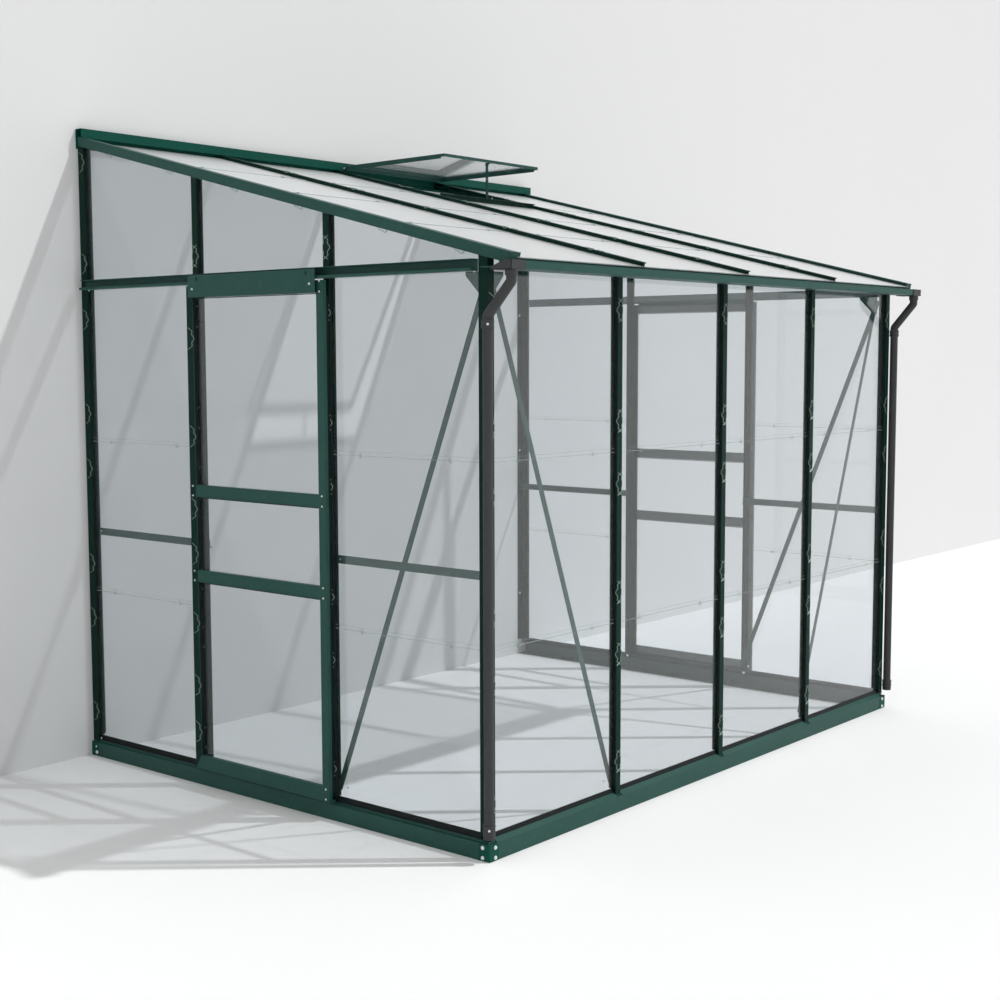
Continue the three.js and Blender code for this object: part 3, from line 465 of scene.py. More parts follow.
PAINT = "green_powder_coat"
# the next finish is painted shade: the paint's green made darker for the bars, posts and vent sill
SHADED_BAR_PAINT = "shaded_green_powder_coat"
PLATE_PAINT = "full_green_powder_coat"
WALL_GLASS = "pane_glass"
ROOF_GLASS = "dusty_roof_glass"
GLASS_EDGE = "ground_glass_edge"
PLASTIC = "grey_moulded_plastic"
NYLON = "black_nylon"
# the roof rubber takes the bars' darker green, the colour that paints shade on the bars
ROOF_RUBBER = "green_black_rubber"  # takes on the green of the bars
STEEL = "zinc_plated_steel"
WIRE = "spring_wire"
FINISHES = {  # the slot of the pieces with this finish, and its recipe
    PAINT: ("frame_paint", lambda sheet, own: powder_coat(sheet, own.paint, own.paint_gloss)),
    SHADED_BAR_PAINT: (
        "frame_paint",
        lambda sheet, own: powder_coat(sheet, own.shaded_bar_paint, own.paint_gloss / 2),
    ),
    PLATE_PAINT: (
        "frame_paint",
        lambda sheet, own: powder_coat(sheet, own.plate_paint, own.paint_gloss / 2),
    ),
    WALL_GLASS: (
        "glass",
        lambda sheet, own: pane_glass(sheet, own.glass_tint, own.glass_film, 0.02),
    ),
    ROOF_GLASS: (
        "glass",
        lambda sheet, own: pane_glass(sheet, own.roof_tint, own.roof_film, 0.28),
    ),
    GLASS_EDGE: ("glass", lambda sheet, own: glass_edge(sheet)),
    PLASTIC: ("grey_plastic", lambda sheet, own: moulded(sheet, own.plastic, 0.5, 900, 0.3)),
    NYLON: ("roller_nylon", lambda sheet, own: moulded(sheet, own.nylon, 0.45, 1400, 0.15)),
    ROOF_RUBBER: (
        "roller_nylon",
        lambda sheet, own: moulded(sheet, own.shaded_bar_paint, 0.6, 1400, 0.12),
    ),
    STEEL: ("bright_steel", lambda sheet, own: zinc_plate(sheet, own.steel)),
    WIRE: ("bright_steel", lambda sheet, own: drawn_wire(sheet, own.wire)),
}


def material_of(finish):
    """The material of a finish, made at its first use."""
    found = bpy.data.materials.get(finish)
    return found or FINISHES[finish][1](Sheet(bpy.data.materials.new(finish)), settings()[0])


# Meshes

SMOOTH_BELOW = math.radians(35)  # edges that turn less are shaded smooth
BEVEL_ABOVE = math.radians(40)  # edges that turn more are rounded


class Body:
    """Closed forms gathered into one mesh."""

    def __init__(self):
        self.mesh = bmesh.new()

    def loft(self, rings):
        """Skins a row of rings that have equally many points, and closes both ends."""
        loops = [[self.mesh.verts.new(point) for point in ring] for ring in rings]
        for first, second in zip(loops, loops[1:]):
            for i in range(len(first)):
                j = (i + 1) % len(first)
                self.mesh.faces.new((first[i], first[j], second[j], second[i]))
        self.mesh.faces.new(loops[0][::-1])
        self.mesh.faces.new(loops[-1])

    def slab(self, corners, thick):
        """A flat plate from its corners, thickened by a vector."""
        self.loft([corners, [corner + thick for corner in corners]])

    def box(self, low, high):
        """A block between two corners."""
        corners = [
            Vector((low.x, low.y, low.z)),
            Vector((high.x, low.y, low.z)),
            Vector((high.x, high.y, low.z)),
            Vector((low.x, high.y, low.z)),
        ]
        self.slab(corners, UP * (high.z - low.z))

    def turned(self, profile, place, axis, sides):
        """Rings of (radius, height) round an axis."""
        turn = UP.rotation_difference(axis).to_matrix()
        rings = []
        for radius, height in profile:
            ring = []
            for i in range(sides):
                angle = 2 * math.pi * i / sides
                local = Vector((radius * math.cos(angle), radius * math.sin(angle), height))
                ring.append(place + turn @ local)
            rings.append(ring)
        self.loft(rings)

    def swept(self, path, radius, sides):
        """A round rod along a path."""
        ahead = [(path[min(i + 1, len(path) - 1)] - path[max(i - 1, 0)]) for i in range(len(path))]
        ahead = [step.normalized() for step in ahead]
        side = ahead[0].orthogonal().normalized()
        rings = []
        for i, point in enumerate(path):
            if i:
                side = ahead[i - 1].rotation_difference(ahead[i]) @ side
            third = ahead[i].cross(side)
            ring = []
            for k in range(sides):
                angle = 2 * math.pi * k / sides
                ring.append(point + (side * math.cos(angle) + third * math.sin(angle)) * radius)
            rings.append(ring)
        self.loft(rings)

    def bolt(self, place, axis, width, height):
        """A hexagon head on a washer, standing on a face along an axis."""
        washer = height * 0.22
        rim = width * 0.62
        self.turned([(rim, 0), (rim, washer * 0.7), (rim * 0.95, washer)], place, axis, 20)
        head = width / 2
        profile = [(head, washer), (head, height * 0.86), (head * 0.86, height)]
        self.turned(profile, place, axis, 6)

    def screw(self, place, axis, width, height):
        """A pan head with a round crown."""
        rim = width / 2
        profile = [(rim, 0), (rim, height * 0.35), (rim * 0.86, height * 0.75), (rim * 0.5, height)]
        self.turned(profile, place, axis, 16)

    def done(self, name, finish, body, rounding=0.0):
        """Makes the object, which rides on a body of the frame."""
        bmesh.ops.recalc_face_normals(self.mesh, faces=self.mesh.faces)
        data = bpy.data.meshes.new(name)
        self.mesh.to_mesh(data)
        self.mesh.free()
        data.materials.append(material_of(finish))
        data.shade_smooth()
        data.set_sharp_from_angle(angle=SMOOTH_BELOW)
        made = bpy.data.objects.new(name, data)
        bpy.context.scene.collection.objects.link(made)
        if rounding:
            round_edges(made, rounding)
        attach(made, body)
        return made


def round_edges(made, radius):
    """Breaks the sharp edges of a piece."""
    bevel = made.modifiers.new("edges", "BEVEL")
    bevel.width = radius
    bevel.segments = 2
    bevel.limit_method = "ANGLE"
    bevel.angle_limit = BEVEL_ABOVE
    bevel.harden_normals = True


def smooth_path(points, steps):
    """A smooth curve through points."""
    padded = [points[0] * 2 - points[1], *points, points[-1] * 2 - points[-2]]
    path = []
    for before, start, end, after in zip(padded, padded[1:], padded[2:], padded[3:]):
        for i in range(steps):
            t = i / steps
            path.append(
                (
                    2 * start
                    + (end - before) * t
                    + (2 * before - 5 * start + 4 * end - after) * t**2
                    + (3 * start - before - 3 * end + after) * t**3
                )
                / 2
            )
    path.append(points[-1])
    return path


def piece(name, finish, body, *steps, rounding=0.0):
    """Makes one object from steps, each a function with the values that follow its body."""
    made = Body()
    for step, *values in steps:
        step(made, *values)
    return made.done(name, finish, body, rounding)


# Glazing clips

FOOT_CLIP = 165 * MM  # height of the lowest clip of a bar
WALL_POST_CLIP = 2141 * MM  # height of the clip near the top of a wall post
EAVES_CLIP_DROP = 91 * MM  # of the top clip of a front bar, under the eaves lap
RAFTER_CLIPS = (-0.79, -0.49, -0.13, 0.17, 0.5, 0.83)  # along the depth of the greenhouse
ROOF_CLIPS = (0.2, 0.56, 0.92, 1.28, 1.64)  # up the slope from the roof's foot
DOOR_CLIPS = (0.19, 0.35, 0.563, 0.797, 0.949, 1.191, 1.515)  # heights on the doors
CLIP_OUTLINE = (  # across the bar, share of the length, out of the cap
    (-10.5, 0.5, 1.1),
    (0.0, 0.42, 1.2),
    (9.8, 0.335, 1.2),
    (11.6, 0.312, 1.1),
    (9.4, 0.27, 1.2),
    (7.4, 0.22, 1.2),
    (8.6, 0.18, 1.2),
    (12.6, 0.115, 0.9),
    (14.6, 0.055, -1.6),
    (15.2, 0.0, -2.4),
)
LIP_CLIP_OUTLINE = (  # the same below the lip of a rafter, whose face hides the ends
    (-3.0, 0.3, -3.4),
    (3.4, 0.24, -4.4),
    (6.0, 0.19, -7.4),
    (3.6, 0.145, -8.4),
    (7.4, 0.1, -12.0),
    (9.6, 0.05, -14.4),
    (10.0, 0.0, -14.8),
)


def add_clip(body, place, across, along, out, outline=CLIP_OUTLINE):
    """One wire clip: its ends lie on the cap and its bow presses on the seal beside the bar."""
    fittings = settings()[1]
    half = [(a * MM, share * fittings.clip_length, rise * MM) for a, share, rise in outline]
    mirrored = [(a, -h, rise) for a, h, rise in reversed(half[:-1])]
    points = [place + across * a + along * h + out * rise for a, h, rise in [*half, *mirrored]]
    body.swept(smooth_path(points, 4), fittings.clip_wire / 2, 7)


def lap_heights(*laps):
    """Heights of the clips on both sides of each lap."""
    reach = settings()[1].clip_from_lap
    return sorted(lap + side * reach for lap in laps for side in (-1, 1))


def front_clips(body):
    fittings = settings()[1]
    heights = lap_heights(fittings.lower_lap, fittings.upper_lap)
    heights += [FOOT_CLIP, fittings.eaves_lap - EAVES_CLIP_DROP]
    rows = [(x, side) for x in FRONT_BARS for side in (-1, 1)]
    rows += [(side * (CORNER_LIP + CAP_HALF), -side) for side in (-1, 1)]
    for x, side in rows:
        for z in heights:
            add_clip(body, Vector((x, CAP_FRONT, z)), ALONG_X * side, UP, -ALONG_Y)


def end_clips(body, sign):
    fittings = settings()[1]
    low = [FOOT_CLIP, *lap_heights(fittings.lower_lap, fittings.upper_lap)]
    high = lap_heights(fittings.eaves_lap)
    rows = (
        (END_BARS[0], -1, [*low, *high]),
        (END_BARS[0], 1, high[1:]),
        (END_BARS[1], -1, high[1:]),
        (END_BARS[1], 1, [*low, *high]),
        (WALL_LIP + CAP_HALF, -1, [*low, *high, WALL_POST_CLIP]),
    )
    for y, side, heights in rows:
        for z in heights:
            place = Vector((sign * CAP_END, y, z))
            add_clip(body, place, ALONG_Y * side, UP, ALONG_X * sign)
    face = high_of("right_gable_rafter").x
    for y in RAFTER_CLIPS:
        edge = Vector((sign * face, y, rafter_foot(y)))
        add_clip(body, edge, -OFF_SLOPE, UP_SLOPE, ALONG_X * sign, LIP_CLIP_OUTLINE)


def roof_edges():
    """Both sides of the roof bars, each with how far up the slope its pane reaches."""
    rows = []
    for index, x in enumerate(FRONT_BARS):
        for side in (-1, 1):
            pane = "roof_pane_%d" % (index + (1 if side < 0 else 2))
            rows.append((x, side, (high_of(pane).y - ROOF_FOOT) / math.cos(ROOF_PITCH)))
    return rows


def roof_clips(body):
    for x, side, end in roof_edges():
        for up in ROOF_CLIPS:
            if up < end:
                add_clip(body, on_roof(x, up), ALONG_X * side, UP_SLOPE, OFF_SLOPE)


def door_clips(body, sign):
    y = DOOR_STILE + CAP_HALF
    for z in DOOR_CLIPS:
        place = Vector((sign * DOOR_STILE_FACE, y, z))
        add_clip(body, place, -ALONG_Y, UP, ALONG_X * sign)


class GREENHOUSE_OT_glazing_clips(bpy.types.Operator):
    """Sets the wire clips that hold the panes to the bars"""

    bl_idname = "greenhouse.glazing_clips"
    bl_label = "Glazing Clips"

    def execute(self, context):
        piece("front_glazing_clips", WIRE, STRUCTURE, (front_clips,))
        piece("roof_glazing_clips", WIRE, STRUCTURE, (roof_clips,))
        for side in SIDES:
            sign, door = SIGN[side], side + "_door"
            piece(side + "_end_glazing_clips", WIRE, STRUCTURE, (end_clips, sign))
            piece(door + "_glazing_clips", WIRE, door, (door_clips, sign))
        return {"FINISHED"}


# Seals round the panes

SEAL_THICK = 2.2 * MM
SEAL_TOP = 3.2 * MM  # under the face of the cap
# sections at the panes' feet: depth behind the face of the base, height, in mm
SILL_BEAD = ((0.2, 52.2), (16.2, 63), (16.2, 58.3), (14.6, 58.3), (14.6, 60.6), (2, 52.2))
SILL_LIP = ((16.6, 59), (16.6, 66), (18.4, 77), (19.6, 77), (19.6, 59))
END_LIP = ((14.4, 58.3), (14.4, 66), (18.4, 77), (19.6, 77), (19.6, 58.3))


def add_seal(body, low, high, inward, out, depth):
    """A rubber strip beside the lip of a cap, down to the face of the pane."""
    start = inward * 0.5 * MM - out * SEAL_TOP
    end = start - out * (depth - 3.5 * MM)
    body.slab([low + start, high + start, high + end, low + end], inward * SEAL_THICK)


def front_seals(body):
    foot, head = low_of("front_pane_1").z + 1 * MM, high_of("front_pane_1").z - 1 * MM
    rows = [(x + side * CAP_HALF, -side) for x in FRONT_BARS for side in (-1, 1)]
    rows += [(side * CORNER_LIP, side) for side in (-1, 1)]
    for x, side in rows:
        low, high = Vector((x, CAP_FRONT, foot)), Vector((x, CAP_FRONT, head))
        add_seal(body, low, high, ALONG_X * side, -ALONG_Y, PANE_FRONT - CAP_FRONT)


def end_seals(body, sign):
    foot = low_of("left_end_pane_1").z + 1 * MM
    over_door = low_of("left_end_pane_2").z + 1 * MM
    rows = (
        (CORNER_END_LIP, -1, foot),
        (END_BARS[0] - CAP_HALF, 1, foot),
        (END_BARS[0] + CAP_HALF, -1, over_door),
        (END_BARS[1] - CAP_HALF, 1, over_door),
        (END_BARS[1] + CAP_HALF, -1, foot),
        (WALL_LIP, 1, foot),
    )
    for y, side, start in rows:
        low = Vector((sign * CAP_END, y, start))
        high = Vector((sign * CAP_END, y, rafter_foot(y) - 2 * MM))
        add_seal(body, low, high, ALONG_Y * side, ALONG_X * sign, CAP_END - PANE_END)


def roof_seals(body):
    for x, side, end in roof_edges():
        edge = x + side * CAP_HALF
        low, high = on_roof(edge, 4 * MM), on_roof(edge, end - 4 * MM)
        add_seal(body, low, high, -ALONG_X * side, OFF_SLOPE, PANE_FRONT - CAP_FRONT)


def front_bays():
    """Where the lips and caps on the base leave the front panes free."""
    starts = [-CORNER_LIP, *(x + CAP_HALF for x in FRONT_BARS)]
    ends = [*(x - CAP_HALF for x in FRONT_BARS), CORNER_LIP]
    return [(a + 0.5 * MM, b - 0.5 * MM) for a, b in zip(starts, ends)]


def sills(trim, seal):
    """The sloping bead and the seal at the feet of the front panes."""
    for start, end in front_bays():
        for body, section in ((trim, SILL_BEAD), (seal, SILL_LIP)):
            corners = [Vector((start, BASE_FRONT + d * MM, z * MM)) for d, z in section]
            body.slab(corners, ALONG_X * (end - start))


def end_sills(seal, sign):
    """The seals at the feet of the fixed end panes, clear of the door's groove."""
    bays = ((CORNER_END_LIP, END_BARS[0] - CAP_HALF), (END_BARS[1] + CAP_HALF, WALL_LIP))
    for start, end in bays:
        low = start + 0.5 * MM
        corners = [Vector((sign * (BASE_END - d * MM), low, z * MM)) for d, z in END_LIP]
        seal.slab(corners, ALONG_Y * (end - start - 1 * MM))


class GREENHOUSE_OT_seals(bpy.types.Operator):
    """Lays the rubber seals round the fixed panes and the beads at their feet"""

    bl_idname = "greenhouse.seals"
    bl_label = "Seals"

    def execute(self, context):
        trim, front = Body(), Body()
        sills(trim, front)
        front_seals(front)
        trim.done("front_sill_beads", PAINT, STRUCTURE, 0.3 * MM)
        front.done("front_pane_seals", NYLON, STRUCTURE)
        piece("roof_pane_seals", ROOF_RUBBER, STRUCTURE, (roof_seals,))
        for side in SIDES:
            sign = SIGN[side]
            steps = (end_seals, sign), (end_sills, sign)
            piece(side + "_end_pane_seals", NYLON, STRUCTURE, *steps)
        return {"FINISHED"}


# Laps between the sheets of glass

ROOF_LAPS = (0.53, 1.04, 1.53)  # up the slope from the roof's foot
HOOK_SHARES = (0.2, 0.8)  # where the two lap clips sit along a lap
HOOK_HALF = 4 * MM
HOOK_THICK = 0.7 * MM


def lap_line(edges, hooks, start, along, length, up, out):
    """The lower edge of a sheet that hangs over the next, with its two lap clips."""
    fittings = settings()[1]
    inset = 1 * MM
    first = start + along * inset + out * 0.2 * MM
    last = start + along * (length - inset) + out * 0.2 * MM
    lower = [first, last, last + up * 1.4 * MM, first + up * 1.4 * MM]
    edges.slab(lower, out * 1.6 * MM)
    depth = fittings.lap_depth
    upper = [last + up * depth, first + up * depth]
    upper += [first + up * (depth + 0.7 * MM), last + up * (depth + 0.7 * MM)]
    edges.slab(upper, out * 0.5 * MM)
    for share in HOOK_SHARES:
        add_lap_hook(hooks, start + along * (share * length), along, up, out)


def add_lap_hook(hooks, middle, along, up, out):
    """A bent strip that hooks under the upper sheet and over the lower one."""

    def spot(across, rise, off):
        return middle + along * across + up * (rise * MM) + out * (off * MM)

    for side in (-1, 1):
        outer, inner = side * HOOK_HALF, side * 0.6 * HOOK_HALF
        leg = [spot(outer, -3, 2.6), spot(outer, 9, 2.2), spot(inner, 9, 2.2), spot(inner, -3, 2.6)]
        hooks.slab(leg, out * HOOK_THICK)
    foot = [
        spot(-HOOK_HALF, -3.4, 0.4),
        spot(HOOK_HALF, -3.4, 0.4),
        spot(HOOK_HALF, -3.4, 4.2),
        spot(-HOOK_HALF, -3.4, 4.2),
    ]
    hooks.slab(foot, -up * 1.6 * MM)


class GREENHOUSE_OT_lap_joints(bpy.types.Operator):
    """Draws the laps between the sheets of each pane, with their clips"""

    bl_idname = "greenhouse.lap_joints"
    bl_label = "Lap Joints"

    def execute(self, context):
        fittings = settings()[1]
        wall_laps = (fittings.lower_lap, fittings.upper_lap)
        edges, hooks = Body(), Body()
        for bay in (1, 2, 3, 4):
            low, high = low_of("front_pane_%d" % bay), high_of("front_pane_%d" % bay)
            for z in wall_laps:
                start = Vector((low.x, low.y, z))
                lap_line(edges, hooks, start, ALONG_X, high.x - low.x, UP, -ALONG_Y)
            roof_low, roof_high = low_of("roof_pane_%d" % bay), high_of("roof_pane_%d" % bay)
            for up in ROOF_LAPS:
                start = on_roof(roof_low.x, up) - OFF_SLOPE * (PANE_FRONT - CAP_FRONT)
                if start.y < roof_high.y:
                    width = roof_high.x - roof_low.x
                    lap_line(edges, hooks, start, ALONG_X, width, UP_SLOPE, OFF_SLOPE)
        for side in SIDES:
            out = ALONG_X * SIGN[side]
            for bay in (1, 3):
                node = "%s_end_pane_%d" % (side, bay)
                low, high = low_of(node), high_of(node)
                for z in wall_laps:
                    start = Vector((SIGN[side] * PANE_END, low.y, z))
                    lap_line(edges, hooks, start, ALONG_Y, high.y - low.y, UP, out)
        edges.done("pane_lap_edges", GLASS_EDGE, STRUCTURE)
        hooks.done("pane_lap_clips", WIRE, STRUCTURE, 0.2 * MM)
        return {"FINISHED"}


# Plates and bolts

GUSSET_BOLT = 1.665
BRACE_TOE = 100 * MM
TRACK_SCREW = 1.692
WALL_POST_BOLTS = (0.3, 1.0, 1.65)
CORNER_BOLTS = (10 * MM, 40 * MM)
GUSSET = ((0, 1.694), (76, 1.694), (76, 1.682), (14, 1.62), (0, 1.62))  # mm inward, height
FRONT_GUSSET = ((0, 1.694), (70, 1.694), (70, 1.682), (14, 1.62), (0, 1.62))


def corner_plate(body, sign):
    """An angle round the front corner of the base."""
    thick = settings()[1].plate
    leg = 40 * MM
    gap = 0.1 * MM
    x, y = sign * (BASE_END + gap), BASE_FRONT - gap
    points = [
        (x, y),
        (x, y + leg),
        (x + sign * thick, y + leg),
        (x + sign * thick, y - thick),
        (x - sign * leg, y - thick),
        (x - sign * leg, y),
    ]
    corners = [Vector((a, b, 2 * MM)) for a, b in points]
    body.slab(corners, UP * 50 * MM)


def gussets(body, sign):
    """Triangles behind the head of the corner post, one on each side of the corner."""
    thick = settings()[1].plate
    inner = sign * (BRACE_BACK - 0.4 * MM)
    y = BASE_FRONT + 46 * MM
    body.slab([Vector((inner, y + a * MM, z)) for a, z in GUSSET], -ALONG_X * sign * thick)
    back = high_of("right_front_brace").y + 0.4 * MM
    x = BASE_END - 50 * MM
    head = [Vector((sign * (x - a * MM), back, z)) for a, z in FRONT_GUSSET]
    body.slab(head, ALONG_Y * thick)


def rafter_end(body, sign):
    """A thin plate that closes the foot of the end rafter."""
    low, high = low_of("right_gable_rafter"), high_of("right_gable_rafter")
    top = Vector((0, low.y, low.z + 31 * MM))
    bottom = Vector((0, low.y + 7.7 * MM, low.z))
    inner, outer = ALONG_X * sign * low.x, ALONG_X * sign * high.x
    corners = [bottom + inner, bottom + outer, top + outer, top + inner]
    body.slab([corner - UP_SLOPE * 0.2 * MM for corner in corners], -UP_SLOPE * MM)


def wall_end_plate(body, sign):
    """A strap on the end rail's wall end."""
    thick = settings()[1].plate
    x = sign * (BASE_END + 0.1 * MM)
    corners = [(WALL - 40 * MM, 3), (WALL - 1 * MM, 3), (WALL - 1 * MM, 50), (WALL - 40 * MM, 50)]
    body.slab([Vector((x, y, z * MM)) for y, z in corners], ALONG_X * sign * thick)


class GREENHOUSE_OT_plates(bpy.types.Operator):
    """Adds the corner plates of the base and the gussets of the braces"""

    bl_idname = "greenhouse.plates"
    bl_label = "Plates and Gussets"

    def execute(self, context):
        for side in SIDES:
            sign = SIGN[side]
            steps = (corner_plate, sign), (wall_end_plate, sign)
            piece(side + "_base_plates", PLATE_PAINT, STRUCTURE, *steps, rounding=0.4 * MM)
            piece(side + "_gussets", PAINT, STRUCTURE, (gussets, sign), rounding=0.3 * MM)
            piece(side + "_rafter_end", PAINT, STRUCTURE, (rafter_end, sign))
        return {"FINISHED"}


def base_bolts(body, sign, width, height):
    """Bolts on the faces of the base rails."""
    face = ALONG_X * sign
    plate = settings()[1].plate
    x = sign * (BASE_END + plate)
    for z in CORNER_BOLTS:
        body.bolt(Vector((x, BASE_FRONT + 25 * MM, z)), face, width, height)
        front = Vector((sign * (BASE_END - 24 * MM), BASE_FRONT - plate, z))
        body.bolt(front, -ALONG_Y, width, height)
    body.bolt(Vector((x, WALL - 31 * MM, 15 * MM)), face, width * 1.1, height)
    body.screw(Vector((x, WALL - 28 * MM, 36 * MM)), face, width * 0.7, height * 0.7)
    lip = Vector((sign * (BASE_END - 14.4 * MM), WALL_LIP - 8 * MM, 65 * MM))
    body.screw(lip, face, width * 0.7, height * 0.7)


def inner_bolts(body, sign, width, height):
    """Bolts inside: bar feet, stiffeners, braces and wall posts."""
    web_end = sign * (BASE_END - 28.5 * MM)
    web_front = BASE_FRONT + 28.5 * MM
    inward = -ALONG_X * sign
    foot = BASE_TOP - 7.2 * MM
    for y in END_BARS:
        body.bolt(Vector((web_end, y, foot)), inward, width, height)
    front_bars = FRONT_BARS if sign < 0 else []
    for x in front_bars:
        body.bolt(Vector((x, web_front, foot)), ALONG_Y, width, height)
    rail = low_of("left_front_stiffener").z + 14 * MM
    outer = Vector((sign * STIFFENER_FACE, 0, rail))
    for y in (END_BARS[0] - 15 * MM, END_BARS[1] + 15 * MM, WALL - 34 * MM):
        body.screw(outer + ALONG_Y * y, -inward, width * 0.7, height * 0.7)
    toe = Vector((sign * BRACE_BACK, END_BARS[0] - 33 * MM, BRACE_TOE))
    body.screw(toe, -inward, width * 0.8, height * 0.8)
    back = high_of("right_front_brace").y
    toe_x = sign * (abs(FRONT_BARS[0]) + 33 * MM)
    body.screw(Vector((toe_x, back, BRACE_TOE)), -ALONG_Y, width * 0.8, height * 0.8)
    end_gusset = Vector((sign * (BRACE_BACK - 2 * MM), BASE_FRONT + 50 * MM, GUSSET_BOLT))
    body.bolt(end_gusset, inward, width, height)
    front_gusset = Vector((sign * (BASE_END - 62 * MM), back + 2 * MM, GUSSET_BOLT))
    body.bolt(front_gusset, ALONG_Y, width, height)
    for z in WALL_POST_BOLTS:
        spot = Vector((sign * (CAP_END - 40 * MM), WALL - 2.6 * MM, z))
        body.bolt(spot, -ALONG_Y, width, height)


def track_screws(body, sign, width, height):
    """Screws through the web of the door track."""
    web = sign * (CAP_END + 2.75 * MM)
    for y in (BASE_FRONT + 54 * MM, END_BARS[0] - 60 * MM, WALL - 48 * MM):
        body.screw(Vector((web, y, TRACK_SCREW)), ALONG_X * sign, width * 0.7, height * 0.6)


class GREENHOUSE_OT_bolts(bpy.types.Operator):
    """Sets the bolts and screws of the fixed frame"""

    bl_idname = "greenhouse.bolts"
    bl_label = "Bolts"

    def execute(self, context):
        fittings = settings()[1]
        size = (fittings.bolt_width, fittings.bolt_height)
        for side in SIDES:
            steps = [(step, SIGN[side], *size) for step in (base_bolts, inner_bolts, track_screws)]
            piece(side + "_frame_bolts", STEEL, STRUCTURE, *steps)
        return {"FINISHED"}


# Downpipes

CUP_WALL = 2.3 * MM
CUP_ROUND = 2.7 * MM  # from the gutter's own faces to the cup's outer ones
CUP_REAR = 5.7 * MM  # height of the cup's low back edge over the gutter's floor
GUTTER_BACK = BASE_FRONT - 35 * MM
CUP_CORNER = 2 * MM
CUP_SLANT = 26 * MM  # from the cup's front to where its end slopes down
BEND_DROP = 34 * MM  # of the upper bend, under the gutter's floor
BEND_FOOT = 1.566
PIPE_AXIS = 1.2782  # of the straight pipe, from the middle of the front
SOCKET_RADIUS = 18 * MM
SOCKET_PROFILE = ((2.8, -17), (0.8, -17), (0, -16), (0, 0))  # under the radius, height in mm
PIPE_RADIUS = 15 * MM
COLLAR_RADIUS = 18.6 * MM
COLLAR_FEET = (0.0903, 1.53)
COLLAR_SCREWS = (0.103, 1.543)
COLLAR_SCREW_AIM = (0.764, -0.645)  # outward and forward
COLLAR_PROFILE = (  # under the collar's radius, above its foot, in mm
    (2, 0),
    (0, 1),
    (0, 9),
    (0.9, 11),
    (0.9, 15),
    (0, 17),
    (0, 25),
    (2, 26),
)
SHOE_PROFILE = ((15.5, -16), (17.4, -14.5), (17.6, -3), (16.6, 0.5))  # radius, height in mm


def pipe_places(sign):
    """The axis of a downpipe from the gutter to its foot."""
    low, high = low_of("left_downpipe"), high_of("left_downpipe")
    outlet = Vector((sign * (BASE_END + 4 * MM), BASE_FRONT - 88 * MM, GUTTER_LOW))
    lean = Vector((sign * PIPE_AXIS, high.y - COLLAR_RADIUS - 0.4 * MM, 0))
    return outlet, lean, low.z


def rounded_corner(before, corner, after, radius, steps):
    """Points of an arc that rounds a corner of a path."""
    back = (before - corner).normalized()
    on = (after - corner).normalized()
    points = []
    for i in range(steps + 1):
        t = i / steps
        points.append(corner + back * radius * (1 - t) ** 2 + on * radius * t**2)
    return points


def gutter_cup(body, sign):
    """The cup round the end of the gutter."""
    low = low_of("right_downpipe")
    inner, outer = sign * low.x, sign * high_of("right_downpipe").x
    wall = CUP_WALL
    front = low.y
    back = GUTTER_BACK + CUP_ROUND
    base = GUTTER_LOW - CUP_ROUND
    rim = GUTTER_LOW + GUTTER_RIM
    rear = GUTTER_LOW + CUP_REAR
    section = [
        (front, rim),
        (front, base + CUP_CORNER),
        (front + CUP_CORNER, base),
        (back - CUP_CORNER, base),
        (back, base + CUP_CORNER),
        (back, rear),
        (back - wall, rear),
        (back - wall, base + wall),
        (front + wall, base + wall),
        (front + wall, rim),
    ]
    start, end = sorted((inner, outer))
    body.slab([Vector((start, y, z)) for y, z in section], ALONG_X * (end - start))
    cap = [(front, rim), (front, base), (back, base), (back, rear), (front + CUP_SLANT, rim)]
    body.slab([Vector((outer, y, z)) for y, z in cap], -ALONG_X * sign * wall)


def socket_and_pipe(body, sign):
    """The spigot under the cup and the bent pipe, down to its foot."""
    outlet, lean, foot = pipe_places(sign)
    bend_top = Vector((outlet.x, outlet.y, GUTTER_LOW - BEND_DROP))
    bend_foot = Vector((lean.x, lean.y, BEND_FOOT))
    end = Vector((lean.x, lean.y, foot))
    start = Vector((outlet.x, outlet.y, GUTTER_LOW - 1.8 * MM))
    path = [start]
    path += rounded_corner(start, bend_top, bend_foot, 3 * MM, 3)
    path += rounded_corner(bend_top, bend_foot, end, 4 * MM, 3)
    path.append(end)
    body.swept(path, PIPE_RADIUS, 32)
    socket = [(SOCKET_RADIUS - d * MM, rise * MM) for d, rise in SOCKET_PROFILE]
    body.turned(socket, start, UP, 32)


def pipe_collars(body, sign):
    """Two clamps round the pipe, and the shoe at its foot."""
    lean = pipe_places(sign)[1]
    for z in COLLAR_FEET:
        foot = Vector((lean.x, lean.y, z))
        profile = [(COLLAR_RADIUS - d * MM, rise * MM) for d, rise in COLLAR_PROFILE]
        body.turned(profile, foot, UP, 36)
    shoe = [(radius * MM, rise * MM) for radius, rise in SHOE_PROFILE]
    body.turned(shoe, Vector((lean.x, lean.y, pipe_places(sign)[2])), UP, 36)


def collar_screws(body, sign):
    """One screw in the middle of each collar, on the outer front."""
    lean = pipe_places(sign)[1]
    axis = Vector((sign * COLLAR_SCREW_AIM[0], COLLAR_SCREW_AIM[1], 0))
    for z in COLLAR_SCREWS:
        spot = Vector((lean.x, lean.y, z)) + axis * (COLLAR_RADIUS - 1.4 * MM)
        body.screw(spot, axis, 7 * MM, 3.2 * MM)


